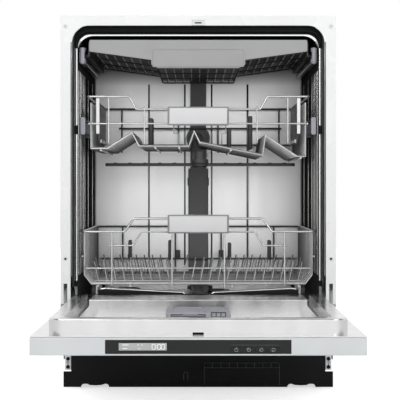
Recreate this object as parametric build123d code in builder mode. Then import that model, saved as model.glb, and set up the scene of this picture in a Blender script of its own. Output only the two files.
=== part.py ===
from build123d import *
import os

os.makedirs("parts", exist_ok=True)

# ---------------------------------------------------------------------------
# Driving dimensions, in millimetres. X runs across, Y from front to back and
# Z up. The origin is on the floor, under the middle of the object's box.
# Depths are counted from the front face of the cabinet, at y = face.
# ---------------------------------------------------------------------------
cabinet_width = 598.0
cabinet_height = 815.0
door_reach = 552.0
cabinet_depth = 515.0
face = (door_reach - cabinet_depth) / 2
back = face + cabinet_depth
half_width = cabinet_width / 2

sheet = 1.0
flange_width = 22.0
opening_half = half_width - flange_width - 4.0
crossbar_bottom = 794.0

tub_half = 264.0
tub_top = 774.0
tub_corner = 36.0
tub_wall = 1.2
tub_front = face + 34.0
tub_back_face = face + 500.0
tub_floor_z = 195.0
track_z = 197.0
track_inner = 222.0

pivot_y = face + 39.3
pivot_z = 220.7
pin_radius = 3.0
pin_clearance = 0.1

door_half = 297.5
door_bottom_z = 146.7
door_sheet_z = 180.6
door_sheet_thick = 1.8
door_tail = face + 110.0
panel_depth = 52.0
liner_half = 268.0
liner_top = 210.5
liner_front = face - 532.0
recess_front = face - 511.0
recess_back = face - 130.0
recess_half = 240.5
recess_floor_z = 178.6
channel_inner = 225.8

base_half = 279.0
base_notch = (290.0, 300.0)
base_foot_z = 59.0
base_front = face + 64.0
plinth_top = 104.0
plinth_front = face + 57.0

basket_front = face + 60.0
basket_back = face + 480.0
wire_thick = 2.3
wire_mid = 1.9
wire_thin = 1.4
weld_gap = 0.05
rim_return = 14.0

upper_rim_z = 644.0
upper_rim_half = 245.0
upper_dip_z = 616.0
lower_rim_z = 345.0
lower_rim_half = 257.0
lower_peak_z = 374.0
lower_floor_z = 229.0
handle_half = 66.0
wheel_radius = 14.0
wheel_x = 235.0

arm_y = face + 263.0
upper_arm_z = 493.0
lower_arm_z = 203.0
feed_x = 4.0


def upright(y):
    """Plane facing the front at depth y, with X across and Z up."""
    return Plane.XZ.offset(-y)


def sideways(x):
    """Plane facing +X at x, with Y along and Z up."""
    return Plane.YZ.offset(x)


def finish(piece, label):
    """Labels a finished sub-part and writes its file."""
    piece.part.label = label
    export_step(piece.part, f"parts/{label}.step")


def block(x_range, y_range, z_range, mode=Mode.ADD):
    """Adds a plain block between two limits on each axis to the open part."""
    with BuildSketch(Plane.XY.offset(z_range[0]), mode=Mode.PRIVATE) as outline:
        with Locations((sum(x_range) / 2, sum(y_range) / 2)):
            Rectangle(x_range[1] - x_range[0], y_range[1] - y_range[0])
    extrude(outline.sketch, amount=z_range[1] - z_range[0], mode=mode)


def arch(half, top_z, bottom_z, corner, y_range, mode=Mode.ADD):
    """Adds a slab with two rounded top corners, standing across the opening."""
    with BuildSketch(upright(y_range[1]), mode=Mode.PRIVATE) as outline:
        with Locations((0, (top_z + bottom_z) / 2)):
            Rectangle(2 * half, top_z - bottom_z)
        fillet(outline.vertices().group_by(Axis.Y)[-1], corner)
    extrude(outline.sketch, amount=y_range[1] - y_range[0], mode=mode)


def bent_wire(points, radius, bend):
    """Adds one round wire that follows the points, with a bend at each."""
    with BuildLine(mode=Mode.PRIVATE) as route:
        FilletPolyline(*points, radius=bend)
    start = route.line @ 0
    with BuildSketch(Plane(origin=start, z_dir=route.line % 0), mode=Mode.PRIVATE) as section:
        Circle(radius)
    sweep(section.sketch, path=route.line)


def mitred_wire(points, radius):
    """Adds one round wire that follows the points, with a mitre at each."""
    with BuildLine(mode=Mode.PRIVATE) as route:
        Polyline(*points)
    start = route.line @ 0
    with BuildSketch(Plane(origin=start, z_dir=route.line % 0), mode=Mode.PRIVATE) as section:
        Circle(radius)
    sweep(section.sketch, path=route.line, transition=Transition.RIGHT)


def straight_wire(start, end, radius):
    """Adds one straight round wire between two points."""
    run = Vector(*end) - Vector(*start)
    with BuildSketch(Plane(origin=start, z_dir=run), mode=Mode.PRIVATE) as section:
        Circle(radius)
    extrude(section.sketch, amount=run.length)


def side_rims(half, height):
    """Adds the left and right rim wires of a basket, each turned in at the front."""
    for side in (-1, 1):
        bent_wire([(side * half, basket_back, height), (side * half, basket_front, height),
                   (side * (half - rim_return + weld_gap), basket_front, height)], wire_thick, 7.0)


def copies(piece, places):
    """Adds a copy of a finished piece at each place."""
    with Locations(*places):
        add(piece.part)


# ---------------------------------------------------------------------------
# Tub: a wrapper of sides and ceiling, a back wall and a floor
# ---------------------------------------------------------------------------
with BuildPart() as tub_wrapper:
    arch(tub_half + tub_wall, tub_top + tub_wall, 190, tub_corner, (tub_front, tub_back_face))
    arch(tub_half, tub_top, 180, tub_corner - tub_wall, (tub_front - 1, tub_back_face + 1),
         Mode.SUBTRACT)
    for depth in (120.0, 430.0):
        for side in (-1, 1):
            with BuildSketch(sideways(side * (tub_half + 0.2))):
                with Locations((face + depth, 480)):
                    SlotOverall(420, 14, rotation=90)
            extrude(amount=side * 2.2)
finish(tub_wrapper, "tub_wrapper")

with BuildPart() as tub_back:
    arch(tub_half + tub_wall, tub_top + tub_wall, 190, tub_corner,
         (tub_back_face, tub_back_face + tub_wall))
    for x in (-125.0, -34.0, 34.0, 125.0):
        with BuildSketch(upright(tub_back_face + 0.2)):
            with Locations((x, 470)):
                SlotOverall(500, 7, rotation=90)
        extrude(amount=1.6)
    fillet(tub_back.faces().sort_by(Axis.Y)[0].edges(), 0.8)
finish(tub_back, "tub_back")

sump_x = 0.0
sump_y = face + 265.0
sump_radius = 102.0
lip_back = face + 34.0
lip_front = face + 26.0
with BuildPart() as tub_floor:
    with BuildSketch(upright(lip_back)):
        with BuildLine():
            Polyline((-216, 190), (-216, 222), (-204, 224), (-33, 215), (-22, 206), (22, 206),
                     (33, 215), (204, 224), (216, 222), (216, 190), close=True)
        make_face()
        fillet(vertices().filter_by_position(Axis.Y, 200, 230), 5)
    extrude(amount=lip_back - lip_front)
    fillet(edges().filter_by_position(Axis.Z, 199, 230).filter_by(Axis.Y, reverse=True), 2.5)
    with BuildSketch(Plane.XY.offset(tub_floor_z - 2)):
        with Locations((0, (lip_front + 4 + tub_back_face) / 2)):
            Rectangle(2 * tub_half - 0.4, tub_back_face - lip_front - 4.2)
        with Locations((sump_x, sump_y)):
            Circle(sump_radius + 0.5, mode=Mode.SUBTRACT)
    extrude(amount=2)
    for side in (-1, 1):
        inner = min(side * track_inner, side * (tub_half - 0.2))
        outer = max(side * track_inner, side * (tub_half - 0.2))
        block((inner, outer), (lip_front, tub_back_face - 0.1), (tub_floor_z - 0.5, track_z))
    for x in (-121.0, 128.0):
        with BuildSketch(Plane.XY.offset(tub_floor_z)):
            with Locations((x, face + 150)):
                SlotOverall(110, 76, rotation=90)
        extrude(amount=-0.8, mode=Mode.SUBTRACT)
finish(tub_floor, "tub_floor")

# ---------------------------------------------------------------------------
# Cabinet: side panels with front flanges, crossbars, hinge brackets
# ---------------------------------------------------------------------------
slot_bottom = 190.0
slot_top = 234.0
screw_x = 288.0
screw_heights = (287.7, 792.0)


def side_panel(side):
    """One side sheet with its folded front flange, on the side given."""
    with BuildPart() as panel:
        outer = side * half_width
        inner = side * (half_width - sheet)
        block((min(outer, inner), max(outer, inner)), (face, back), (60, cabinet_height))
        edge = side * (half_width - flange_width)
        block((min(outer, edge), max(outer, edge)), (face, face + sheet), (slot_bottom, cabinet_height))
        lip = side * (half_width - flange_width + sheet)
        block((min(edge, lip), max(edge, lip)), (face, face + 14), (slot_bottom + 60, cabinet_height))
        block((min(outer, edge), max(outer, edge)), (back - sheet, back), (110, cabinet_height))
        block(sorted((side * base_notch[0], side * base_notch[1])), (face - 1, base_front),
              (base_foot_z, plinth_top), Mode.SUBTRACT)
        slot = (side * 284.0, side * 292.0)
        block((min(slot), max(slot)), (face - 1, face + 2), (slot_bottom - 1, slot_top), Mode.SUBTRACT)
        with BuildSketch(upright(face + 2)):
            with Locations(*[(side * screw_x, z) for z in screw_heights]):
                Circle(2.6)
        extrude(amount=4, mode=Mode.SUBTRACT)
    return panel


left_side_panel = side_panel(-1)
finish(left_side_panel, "left_side_panel")
right_side_panel = side_panel(1)
finish(right_side_panel, "right_side_panel")

catch_half = 14.0
with BuildPart() as top_crossbars:
    bar_half = half_width - flange_width
    bar_top = (cabinet_height - sheet, cabinet_height)
    block((-bar_half, bar_half), (face, face + sheet), (crossbar_bottom - tub_corner, cabinet_height))
    arch(opening_half + 0.8, crossbar_bottom, crossbar_bottom - 2 * tub_corner, tub_corner,
         (face - 1, face + sheet + 1), Mode.SUBTRACT)
    for side in (-1, 1):
        block(sorted((side * (opening_half + 0.8), side * bar_half)), (face - 1, face + sheet + 1),
              (crossbar_bottom - 2 * tub_corner, crossbar_bottom - tub_corner), Mode.SUBTRACT)
    block((-bar_half, bar_half), (face, face + 40), bar_top)
    block((-bar_half, bar_half), (face + 39, face + 40), (crossbar_bottom, cabinet_height))
    block((-catch_half, catch_half), (face - 1, face + 2), (crossbar_bottom - 1, 806), Mode.SUBTRACT)
    block((-bar_half, bar_half), (back - 46, back - 1), bar_top)
    block((-bar_half, bar_half), (back - 2, back - 1), (784, cabinet_height))
finish(top_crossbars, "top_crossbars")

with BuildPart() as latch_catch:
    block((-catch_half + 0.2, catch_half - 0.2), (face + 0.3, face + 22), (crossbar_bottom + 0.4, 805.6))
    block((-7, 7), (face - 1, face + 14), (798, 801.5), Mode.SUBTRACT)
    fillet(latch_catch.edges().filter_by(Axis.Y).group_by(Axis.Z)[-1], 2.0)
    block((-5, 5), (face + 16, face + 19), (801, 812))
finish(latch_catch, "latch_catch")

with BuildPart() as frame_screws:
    for side in (-1, 1):
        for z in screw_heights:
            with BuildSketch(upright(face - 0.02)):
                with Locations((side * screw_x, z)):
                    Circle(5.0)
                    Circle(2.7, mode=Mode.SUBTRACT)
            extrude(amount=0.6)
finish(frame_screws, "frame_screws")

bracket_x = 280.2
with BuildPart() as hinge_brackets:
    for side in (-1, 1):
        with BuildSketch(sideways(side * bracket_x)):
            with BuildLine():
                Polyline((face + 16, 246), (face + 80, 246), (face + 150, 205), (face + 150, 39),
                         (face + 63.5, 39), (face + 63.5, 100), (face + 116, 100), (face + 116, 188),
                         (face + 16, 188), close=True)
            make_face()
        extrude(amount=side * 2)
        tab = sorted((side * bracket_x, side * 295))
        block(tab, (face + 62, face + 63.5), (39, 100))
        with BuildSketch(upright(face + 62)):
            with Locations((side * 289, 88), (side * 289, 56)):
                Circle(3.4)
        extrude(amount=2)
        with BuildSketch(sideways(side * bracket_x)):
            with Locations((pivot_y, pivot_z)):
                Circle(pin_radius)
        extrude(amount=side * 13)
finish(hinge_brackets, "hinge_brackets")

# ---------------------------------------------------------------------------
# Seals: the door gasket round the opening and the seal along the threshold
# ---------------------------------------------------------------------------
gasket_front = face + 29.6
gasket_back = face + 34.0
gasket_half = opening_half + 0.5
gasket_top = crossbar_bottom - 0.4
gasket_bottom = 226.0
seal_radius = 38.6
groove_half = 269.6
groove_top = 792.5
groove_corner = 29.7
rib_half = 267.6
rib_top = 787.5
rib_corner = 28.0
rib_thick = 1.8
with BuildPart() as door_seal:
    arch(gasket_half, gasket_top, gasket_bottom, tub_corner, (gasket_front + 2.6, gasket_back))
    arch(tub_half, 778, gasket_bottom - 5, 27, (gasket_front + 2, gasket_back + 1), Mode.SUBTRACT)
    arch(gasket_half, gasket_top, gasket_bottom, tub_corner, (face + 2, gasket_front + 2.6))
    arch(groove_half, groove_top, gasket_bottom - 5, groove_corner, (face + 1, gasket_front + 2.6),
         Mode.SUBTRACT)
    arch(rib_half, rib_top, gasket_bottom, rib_corner, (gasket_front, gasket_front + 2.6))
    arch(rib_half - rib_thick, rib_top - rib_thick, gasket_bottom - 5, rib_corner - rib_thick,
         (gasket_front - 1, gasket_front + 2.6), Mode.SUBTRACT)
    with BuildSketch(upright(lip_front)):
        with BuildLine():
            Polyline((-219, 199), (-219, 219), (-204, 221), (-34, 212.5), (-23, 203.5), (23, 203.5),
                     (34, 212.5), (204, 221), (219, 219), (219, 199), close=True)
        make_face()
    extrude(amount=4)
    with BuildSketch(sideways(-219)):
        with Locations((pivot_y, pivot_z)):
            Circle(seal_radius)
            Circle(seal_radius - 2.5, mode=Mode.SUBTRACT)
        with Locations((face + 10, 206)):
            Rectangle(26, 12, mode=Mode.INTERSECT)
    extrude(amount=438)
    block((-219, 219), (face + 10, lip_front), (199, 202))
finish(door_seal, "door_seal")

# ---------------------------------------------------------------------------
# Base: tray, plinth, service cover and what stands in the tray
# ---------------------------------------------------------------------------
base_bottom = 8.0
base_back = face + 500.0
foot_x = 230.0
foot_depths = (110.0, 450.0)
stem_radius = 5.0
with BuildPart() as base_tray:
    block((-base_half, base_half), (base_front, base_back), (base_bottom, plinth_top))
    block((-base_half + 3, base_half - 3), (base_front + 3, base_back - 3),
          (base_bottom + 3, plinth_top + 1), Mode.SUBTRACT)
    with BuildSketch(Plane.XY.offset(base_bottom + 2)):
        with Locations(*[(side * foot_x, face + depth) for side in (-1, 1) for depth in foot_depths]):
            Circle(13)
    extrude(amount=40)
    with BuildSketch(Plane.XY.offset(base_bottom - 1)):
        with Locations(*[(side * foot_x, face + depth) for side in (-1, 1) for depth in foot_depths]):
            Circle(stem_radius + 0.08)
    extrude(amount=50, mode=Mode.SUBTRACT)
    block((60, 130), (base_back - 4, base_back + 1), (30, 70), Mode.SUBTRACT)
    block((-170, -60), (base_back - 4, base_back + 1), (30, 90), Mode.SUBTRACT)
finish(base_tray, "base_tray")

with BuildPart() as plinth_panel:
    block((-298, 298), (plinth_front, plinth_front + 3), (1.5, plinth_top))
    for side in (-1, 1):
        block(sorted((side * 281, side * 299)), (plinth_front - 1, plinth_front + 4), (36, 110),
              Mode.SUBTRACT)
        with BuildSketch(upright(plinth_front + 4)):
            with Locations((side * 228, 1.5)):
                SlotOverall(62, 14)
        extrude(amount=5, mode=Mode.SUBTRACT)
    block((-298, 298), (plinth_front, plinth_front + 6), (plinth_top - 3, plinth_top))
    for side in (-1, 1):
        block(sorted((side * 277, side * base_notch[1])), (plinth_front - 1, plinth_front + 8),
              (98, 110), Mode.SUBTRACT)
finish(plinth_panel, "plinth_panel")

cover_x = (11.6, 181.0)
cover_z = (5.0, 56.5)
slot_count = 9
with BuildPart() as service_cover:
    block(cover_x, (plinth_front - 2.5, plinth_front - 0.02), cover_z)
    fillet(service_cover.edges().filter_by(Axis.Y), 3)
    with BuildSketch(upright(plinth_front)):
        with Locations((sum(cover_x) / 2, cover_z[1] - 6)):
            with GridLocations(17.6, 1, slot_count, 1):
                SlotOverall(12, 3)
    extrude(amount=4, mode=Mode.SUBTRACT)
finish(service_cover, "service_cover")

with BuildPart() as sump:
    with BuildSketch(Plane.XY.offset(120)):
        with Locations((sump_x, sump_y)):
            Circle(70)
    with BuildSketch(Plane.XY.offset(tub_floor_z - 2.2)):
        with Locations((sump_x, sump_y)):
            Circle(sump_radius + 6)
    loft()
    with BuildSketch(Plane.XY.offset(123)):
        with Locations((sump_x, sump_y)):
            Circle(66)
    with BuildSketch(Plane.XY.offset(tub_floor_z - 2)):
        with Locations((sump_x, sump_y)):
            Circle(sump_radius - 4)
    loft(mode=Mode.SUBTRACT)
    with BuildSketch(Plane.XY.offset(118)):
        with Locations((feed_x, arm_y)):
            Circle(15)
    extrude(amount=tub_floor_z + 6 - 118)
    with BuildSketch(Plane.XY.offset(126)):
        with Locations((feed_x, arm_y)):
            Circle(11)
    extrude(amount=90, mode=Mode.SUBTRACT)
finish(sump, "sump")

filter_x = 40.0
filter_y = arm_y + 37.0
filter_radius = 34.0
with BuildPart() as fine_filter:
    with BuildSketch(Plane.XY.offset(tub_floor_z - 2)):
        with Locations((sump_x, sump_y)):
            Circle(sump_radius)
        with Locations((feed_x, arm_y)):
            Circle(15.4, mode=Mode.SUBTRACT)
        with Locations((filter_x, filter_y)):
            Circle(filter_radius + 0.4, mode=Mode.SUBTRACT)
    extrude(amount=1.4)
finish(fine_filter, "fine_filter")

with BuildPart() as coarse_filter:
    with BuildSketch(Plane.XY.offset(170)):
        with Locations((filter_x, filter_y)):
            Circle(filter_radius - 9)
    extrude(amount=tub_floor_z - 168)
    with BuildSketch(Plane.XY.offset(tub_floor_z - 6)):
        with Locations((filter_x, filter_y)):
            Circle(filter_radius)
    extrude(amount=10)
    with BuildSketch(Plane.XY.offset(172)):
        with Locations((filter_x, filter_y)):
            Circle(filter_radius - 11)
    extrude(amount=80, mode=Mode.SUBTRACT)
    block((filter_x - 26, filter_x + 26), (filter_y - 2, filter_y + 2), (tub_floor_z - 2, tub_floor_z + 4))
finish(coarse_filter, "coarse_filter")

softener_x = -170.0
softener_y = face + 330.0
with BuildPart() as softener_tank:
    block((softener_x - 75, softener_x + 60), (softener_y - 110, softener_y + 80), (14, 98))
    fillet(softener_tank.edges().filter_by(Axis.Z), 14)
    with BuildSketch(Plane.XY.offset(97)):
        with Locations((softener_x, softener_y)):
            Circle(32)
    extrude(amount=tub_floor_z - 99.4)
    with BuildSketch(Plane.XY.offset(110)):
        with Locations((softener_x, softener_y)):
            Circle(27)
    extrude(amount=90, mode=Mode.SUBTRACT)
finish(softener_tank, "softener_tank")

with BuildPart() as salt_cap:
    with BuildSketch(Plane.XY.offset(tub_floor_z + 0.2)):
        with Locations((softener_x, softener_y)):
            Circle(30)
    extrude(amount=5)
    fillet(salt_cap.edges().group_by(Axis.Z)[-1], 1.5)
    block((softener_x - 22, softener_x + 22), (softener_y - 3, softener_y + 3),
          (tub_floor_z + 5, tub_floor_z + 7.2))
finish(salt_cap, "salt_cap")

with BuildPart() as circulation_pump:
    with BuildSketch(sideways(-20)):
        with Locations((face + 410, 58)):
            Circle(38)
    extrude(amount=70)
    with BuildSketch(sideways(50)):
        with Locations((face + 410, 58)):
            Circle(30)
    extrude(amount=75)
    with BuildSketch(Plane.XY.offset(90)):
        with Locations((10, face + 410)):
            Circle(13)
    extrude(amount=25)
    fillet(circulation_pump.edges().filter_by(GeomType.CIRCLE).group_by(Axis.X)[0], 4)
finish(circulation_pump, "circulation_pump")

with BuildPart() as drain_pump:
    with BuildSketch(upright(face + 210)):
        with Locations((150, 44)):
            Circle(26)
    extrude(amount=55)
    with BuildSketch(upright(face + 155)):
        with Locations((150, 44)):
            Circle(18)
    extrude(amount=35)
    fillet(drain_pump.edges().filter_by(GeomType.CIRCLE).group_by(Axis.Y)[-1], 3)
finish(drain_pump, "drain_pump")

spigot_x = 95.0
spigot_z = 50.0
spigot_radius = 11.0
valve_x = -140.0
inlet_x = -90.0
with BuildPart() as drain_spigot:
    block((spigot_x - 30, spigot_x + 30), (base_back - 12, base_back - 4.1), (32, 68))
    with BuildSketch(upright(back - 1)):
        with Locations((spigot_x, spigot_z)):
            Circle(spigot_radius)
            Circle(spigot_radius - 2.5, mode=Mode.SUBTRACT)
    extrude(amount=back - 1 - base_back + 8)
finish(drain_spigot, "drain_spigot")

with BuildPart() as inlet_valve:
    block((valve_x - 24, valve_x + 18), (base_back - 60, base_back - 4.1), (34, 84))
    fillet(inlet_valve.edges().filter_by(Axis.Y), 4)
    with BuildSketch(upright(back - 1)):
        with Locations((valve_x, 60)):
            Circle(13.2)
            Circle(9, mode=Mode.SUBTRACT)
    extrude(amount=back - 1 - base_back + 8)
finish(inlet_valve, "inlet_valve")

with BuildPart() as power_inlet:
    block((inlet_x - 20, inlet_x + 20), (base_back - 30, base_back - 4.1), (40, 76))
    with BuildSketch(upright(base_back + 6)):
        with Locations((inlet_x, 58)):
            RectangleRounded(30, 24, 3)
            RectangleRounded(24, 17, 2, mode=Mode.SUBTRACT)
    extrude(amount=14)
finish(power_inlet, "power_inlet")

duct_front = face + 487.0
port_z = 567.0
with BuildPart() as water_duct:
    block((-25, 25), (duct_front, tub_back_face - 2), (200, 490))
    block((-20, 20), (duct_front + 1.5, tub_back_face - 2), (489, 770))
    block((-27, 27), (duct_front - 1, tub_back_face - 2), (447, 467))
    fillet(water_duct.edges().filter_by(Axis.Z).group_by(Axis.Y)[0:2], 4)
    with BuildSketch(upright(tub_back_face - 2)):
        with Locations((0, port_z)):
            Circle(30)
    extrude(amount=tub_back_face - 2 - duct_front + 1)
    with BuildSketch(upright(duct_front + 6)):
        with Locations((0, port_z)):
            Circle(17)
    extrude(amount=20, mode=Mode.SUBTRACT)
finish(water_duct, "water_duct")

# Guides on the side walls: two rail brackets and a tray channel on each side
rail_z = (564.0, 594.0)
cap_z = (560.0, 598.0)
tray_cap_z = (717.0, 750.0)
with BuildPart() as wall_guides:
    for side in (-1, 1):
        for depth in (78.0, 236.0):
            block(sorted((side * 251.6, side * (tub_half - 0.05))), (face + depth, face + depth + 26), cap_z)
            block(sorted((side * 250, side * 259.9)), (face + depth - 1, face + depth + 27),
                  (rail_z[0] - 0.4, rail_z[1] + 0.4), Mode.SUBTRACT)
        block(sorted((side * 248.5, side * (tub_half - 2.4))), (face + 46, face + 480), tray_cap_z)
        block(sorted((side * 248, side * 259)), (face + 45, face + 481), (727, 741), Mode.SUBTRACT)
    fillet(wall_guides.edges().filter_by(Axis.Y).filter_by_position(Axis.Z, 716, 751), 1.5)
finish(wall_guides, "wall_guides")

# ---------------------------------------------------------------------------
# Feet: a pad and a threaded stem in each corner of the base
# ---------------------------------------------------------------------------
foot_names = ("foot_front_left", "foot_rear_left", "foot_front_right", "foot_rear_right")
foot_places = [(side * foot_x, face + depth) for side in (-1, 1) for depth in foot_depths]
for foot_name, foot_place in zip(foot_names, foot_places):
    with BuildPart() as foot:
        with BuildSketch(Plane.XY):
            with Locations(foot_place):
                RegularPolygon(19, 8)
        extrude(amount=7.6)
        fillet(foot.edges().group_by(Axis.Z)[0], 1)
        with BuildSketch(Plane.XY.offset(7)):
            with Locations(foot_place):
                Circle(stem_radius)
        extrude(amount=84)
    finish(foot, foot_name)

# ---------------------------------------------------------------------------
# Door, drawn lying open: outer panel, liner, control panel and fittings
# ---------------------------------------------------------------------------
door_front = face - door_reach
panel_back = door_front + panel_depth
skin = 1.2
hinge_relief_y = face - 16.0
panel_top = door_sheet_z - door_sheet_thick
with BuildPart() as door_outer_panel:
    block((-door_half, door_half), (panel_back, door_tail), (door_bottom_z, 170))
    block((-door_half, door_half), (panel_back, hinge_relief_y), (169, panel_top))
    block((-door_half + skin, door_half - skin), (panel_back - 1, door_tail - skin),
          (door_bottom_z + skin, 190), Mode.SUBTRACT)
    fillet(door_outer_panel.edges().filter_by(Axis.Y).group_by(Axis.Z)[0], 1.0)
    for side in (-1, 1):
        inner = side * 262
        block(sorted((inner, side * (inner * side + 2))), (panel_back + 2, hinge_relief_y - 4),
              (door_bottom_z + skin - 0.1, panel_top))
    with BuildSketch(Plane.XY.offset(door_bottom_z - 1)):
        with Locations((0, face - 250)):
            with GridLocations(420, 330, 2, 2):
                Circle(2.2)
    extrude(amount=4, mode=Mode.SUBTRACT)
finish(door_outer_panel, "door_outer_panel")

recess_base = 213.0
channel_outer = recess_half - 0.5
seam = 0.05
recess_wall = [(-recess_half, liner_top + 1), (-channel_outer, track_z), (-channel_inner, track_z),
               (-recess_base + 2, recess_floor_z), (recess_base - 2, recess_floor_z),
               (channel_inner, track_z), (channel_outer, track_z), (recess_half, liner_top + 1)]
liner_mid = (liner_front + face) / 2
with BuildPart() as door_liner:
    with BuildSketch(Plane.XY.offset(panel_top)):
        with Locations((0, liner_mid)):
            Rectangle(2 * liner_half, face - liner_front)
        fillet(vertices().group_by(Axis.Y)[0], 27)
    extrude(amount=liner_top - panel_top)
    fillet(door_liner.edges().group_by(Axis.Z)[-1], 3.5)
    with BuildSketch(Plane.XY.offset(door_sheet_z - 3)):
        with Locations((0, liner_mid)):
            Rectangle(2 * liner_half - 2.4, face - liner_front - 2.4)
        fillet(vertices().group_by(Axis.Y)[0], 25.8)
        with Locations((0, (recess_front + recess_back) / 2)):
            Rectangle(2 * recess_half + 2.4, recess_back - recess_front + 2.4, mode=Mode.SUBTRACT)
        for side in (-1, 1):
            with Locations((side * (channel_inner + recess_half) / 2, (recess_back + face) / 2)):
                Rectangle(recess_half - channel_inner + 3, face - recess_back + 3, mode=Mode.SUBTRACT)
    extrude(amount=liner_top - skin - door_sheet_z + 3, mode=Mode.SUBTRACT)
    block((-door_half, door_half), (door_front + 0.4, hinge_relief_y), (panel_top, door_sheet_z))
    block((-271, 271), (hinge_relief_y - 1, door_tail - 6), (panel_top, door_sheet_z))
    block((-recess_base, recess_base), (recess_front - skin, recess_back + skin),
          (recess_floor_z - skin, door_sheet_z - 1))
    with BuildSketch(upright(recess_back)):
        with BuildLine():
            Polyline(*recess_wall, close=True)
        make_face()
    extrude(amount=recess_back - recess_front, mode=Mode.SUBTRACT)
    for side in (-1, 1):
        block(sorted((side * channel_inner, side * channel_outer)), (recess_back - 2, face + 1),
              (track_z, liner_top + 1), Mode.SUBTRACT)
    mouth = door_liner.edges().filter_by_position(Axis.Z, liner_top - 0.01, liner_top + 0.01)
    fillet(mouth.filter_by_position(Axis.Y, recess_front - 1, recess_back + 0.01)
           .filter_by(Axis.X), 2.0)
    block((-10, 10), (liner_front - 1, liner_front + 12), (door_sheet_z + 0.4, 185.6), Mode.SUBTRACT)
    for side in (-1, 1):
        for edge in (channel_inner, channel_outer):
            block(sorted((side * edge, side * (edge - seam))), (recess_front - skin, door_tail),
                  (recess_floor_z - 10, liner_top + 1), Mode.SUBTRACT)
    block((-door_half, door_half), (recess_front - seam, recess_front),
          (recess_floor_z - 10, liner_top + 1), Mode.SUBTRACT)
finish(door_liner, "door_liner")

with BuildPart() as door_latch:
    block((-9.8, 9.8), (liner_front + 0.3, liner_front + 11.8), (door_sheet_z + 0.6, 185.4))
    block((-6, 6), (liner_front - 1, liner_front + 6), (182.6, 184.4), Mode.SUBTRACT)
finish(door_latch, "door_latch")

glass_half = 164.0
glass_z = (149.9, 174.5)
button_x = (67.0, 89.0, 111.0, 132.5)
button_size = (19.0, 9.5)
button_z = 157.0
with BuildPart() as control_panel:
    block((-door_half, door_half), (door_front, panel_back - 0.2), (door_bottom_z, door_sheet_z - 2))
    fillet(control_panel.edges().filter_by(Axis.X).group_by(Axis.Y)[0], 2.0)
    fillet(control_panel.edges().filter_by(Axis.Z).group_by(Axis.Y)[0], 1.5)
    block((-door_half + 2, door_half - 2), (door_front + 12, panel_back + 1),
          (door_bottom_z + 2, door_sheet_z + 1), Mode.SUBTRACT)
    block((-glass_half - 0.2, glass_half + 0.2), (door_front - 1, door_front + 3.2),
          (glass_z[0] - 0.2, glass_z[1] + 0.2), Mode.SUBTRACT)
    with BuildSketch(upright(door_front + 14)):
        with Locations(*[(x, button_z) for x in button_x]):
            Rectangle(button_size[0] + 1, button_size[1] + 1)
    extrude(amount=12, mode=Mode.SUBTRACT)
finish(control_panel, "control_panel")

with BuildPart() as display_glass:
    block((-glass_half, glass_half), (door_front + 0.9, door_front + 3.1), glass_z)
    with BuildSketch(upright(door_front + 4)):
        with Locations(*[(x, button_z) for x in button_x]):
            RectangleRounded(button_size[0] + 0.8, button_size[1] + 0.8, 1.4)
    extrude(amount=5, mode=Mode.SUBTRACT)
    fillet(display_glass.edges().filter_by(Axis.Y).group_by(Axis.X)[0], 1)
    fillet(display_glass.edges().filter_by(Axis.Y).group_by(Axis.X)[-1], 1)
finish(display_glass, "display_glass")

button_names = ("power_button", "program_button", "option_button", "start_button")
for button_name, x in zip(button_names, button_x):
    with BuildPart() as button:
        with BuildSketch(upright(door_front + 10)):
            with Locations((x, button_z)):
                RectangleRounded(*button_size, 1.2)
        extrude(amount=9.6)
        fillet(button.edges().group_by(Axis.Y)[0], 0.4)
    finish(button, button_name)

dispenser_half = 62.0
dispenser_y = (face - 365.0, face - 235.0)
dispenser_top = 205.0
lid_x = (-50.0, 12.0)
lid_y = (face - 356.0, face - 300.0)
cap_place = (37.0, face - 318.0)
with BuildPart() as dispenser_body:
    block((-dispenser_half, dispenser_half), dispenser_y, (recess_floor_z, dispenser_top))
    fillet(dispenser_body.edges().filter_by(Axis.Z), 9)
    fillet(dispenser_body.edges().group_by(Axis.Z)[-1], 2.5)
    block((lid_x[0] + 4, lid_x[1] - 4), (lid_y[0] + 4, lid_y[1] - 4), (187, 210), Mode.SUBTRACT)
    block((lid_x[0] - 0.4, lid_x[1] + 0.4), (lid_y[0] - 0.4, dispenser_y[1] - 4),
          (dispenser_top - 2.6, 210), Mode.SUBTRACT)
    block((22, 54), (dispenser_y[1] - 46, dispenser_y[1] - 14), (dispenser_top - 3, 210), Mode.SUBTRACT)
    with BuildSketch(Plane.XY.offset(dispenser_top - 8)):
        with Locations(cap_place):
            Circle(13.5)
    extrude(amount=20, mode=Mode.SUBTRACT)
finish(dispenser_body, "dispenser_body")

with BuildPart() as dispenser_lid:
    block(lid_x, lid_y, (dispenser_top - 2.4, dispenser_top + 1.2))
    fillet(dispenser_lid.edges().filter_by(Axis.Z), 2)
    block((lid_x[0] + 8, lid_x[1] - 8), (lid_y[0] + 6, lid_y[0] + 9), (dispenser_top + 1, dispenser_top + 2.6))
finish(dispenser_lid, "dispenser_lid")

with BuildPart() as rinse_aid_cap:
    with BuildSketch(Plane.XY.offset(dispenser_top - 7.8)):
        with Locations(cap_place):
            Circle(13)
    extrude(amount=8)
    block((cap_place[0] - 11, cap_place[0] + 11), (cap_place[1] - 2, cap_place[1] + 2),
          (dispenser_top - 0.5, dispenser_top + 2.4))
finish(rinse_aid_cap, "rinse_aid_cap")

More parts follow.
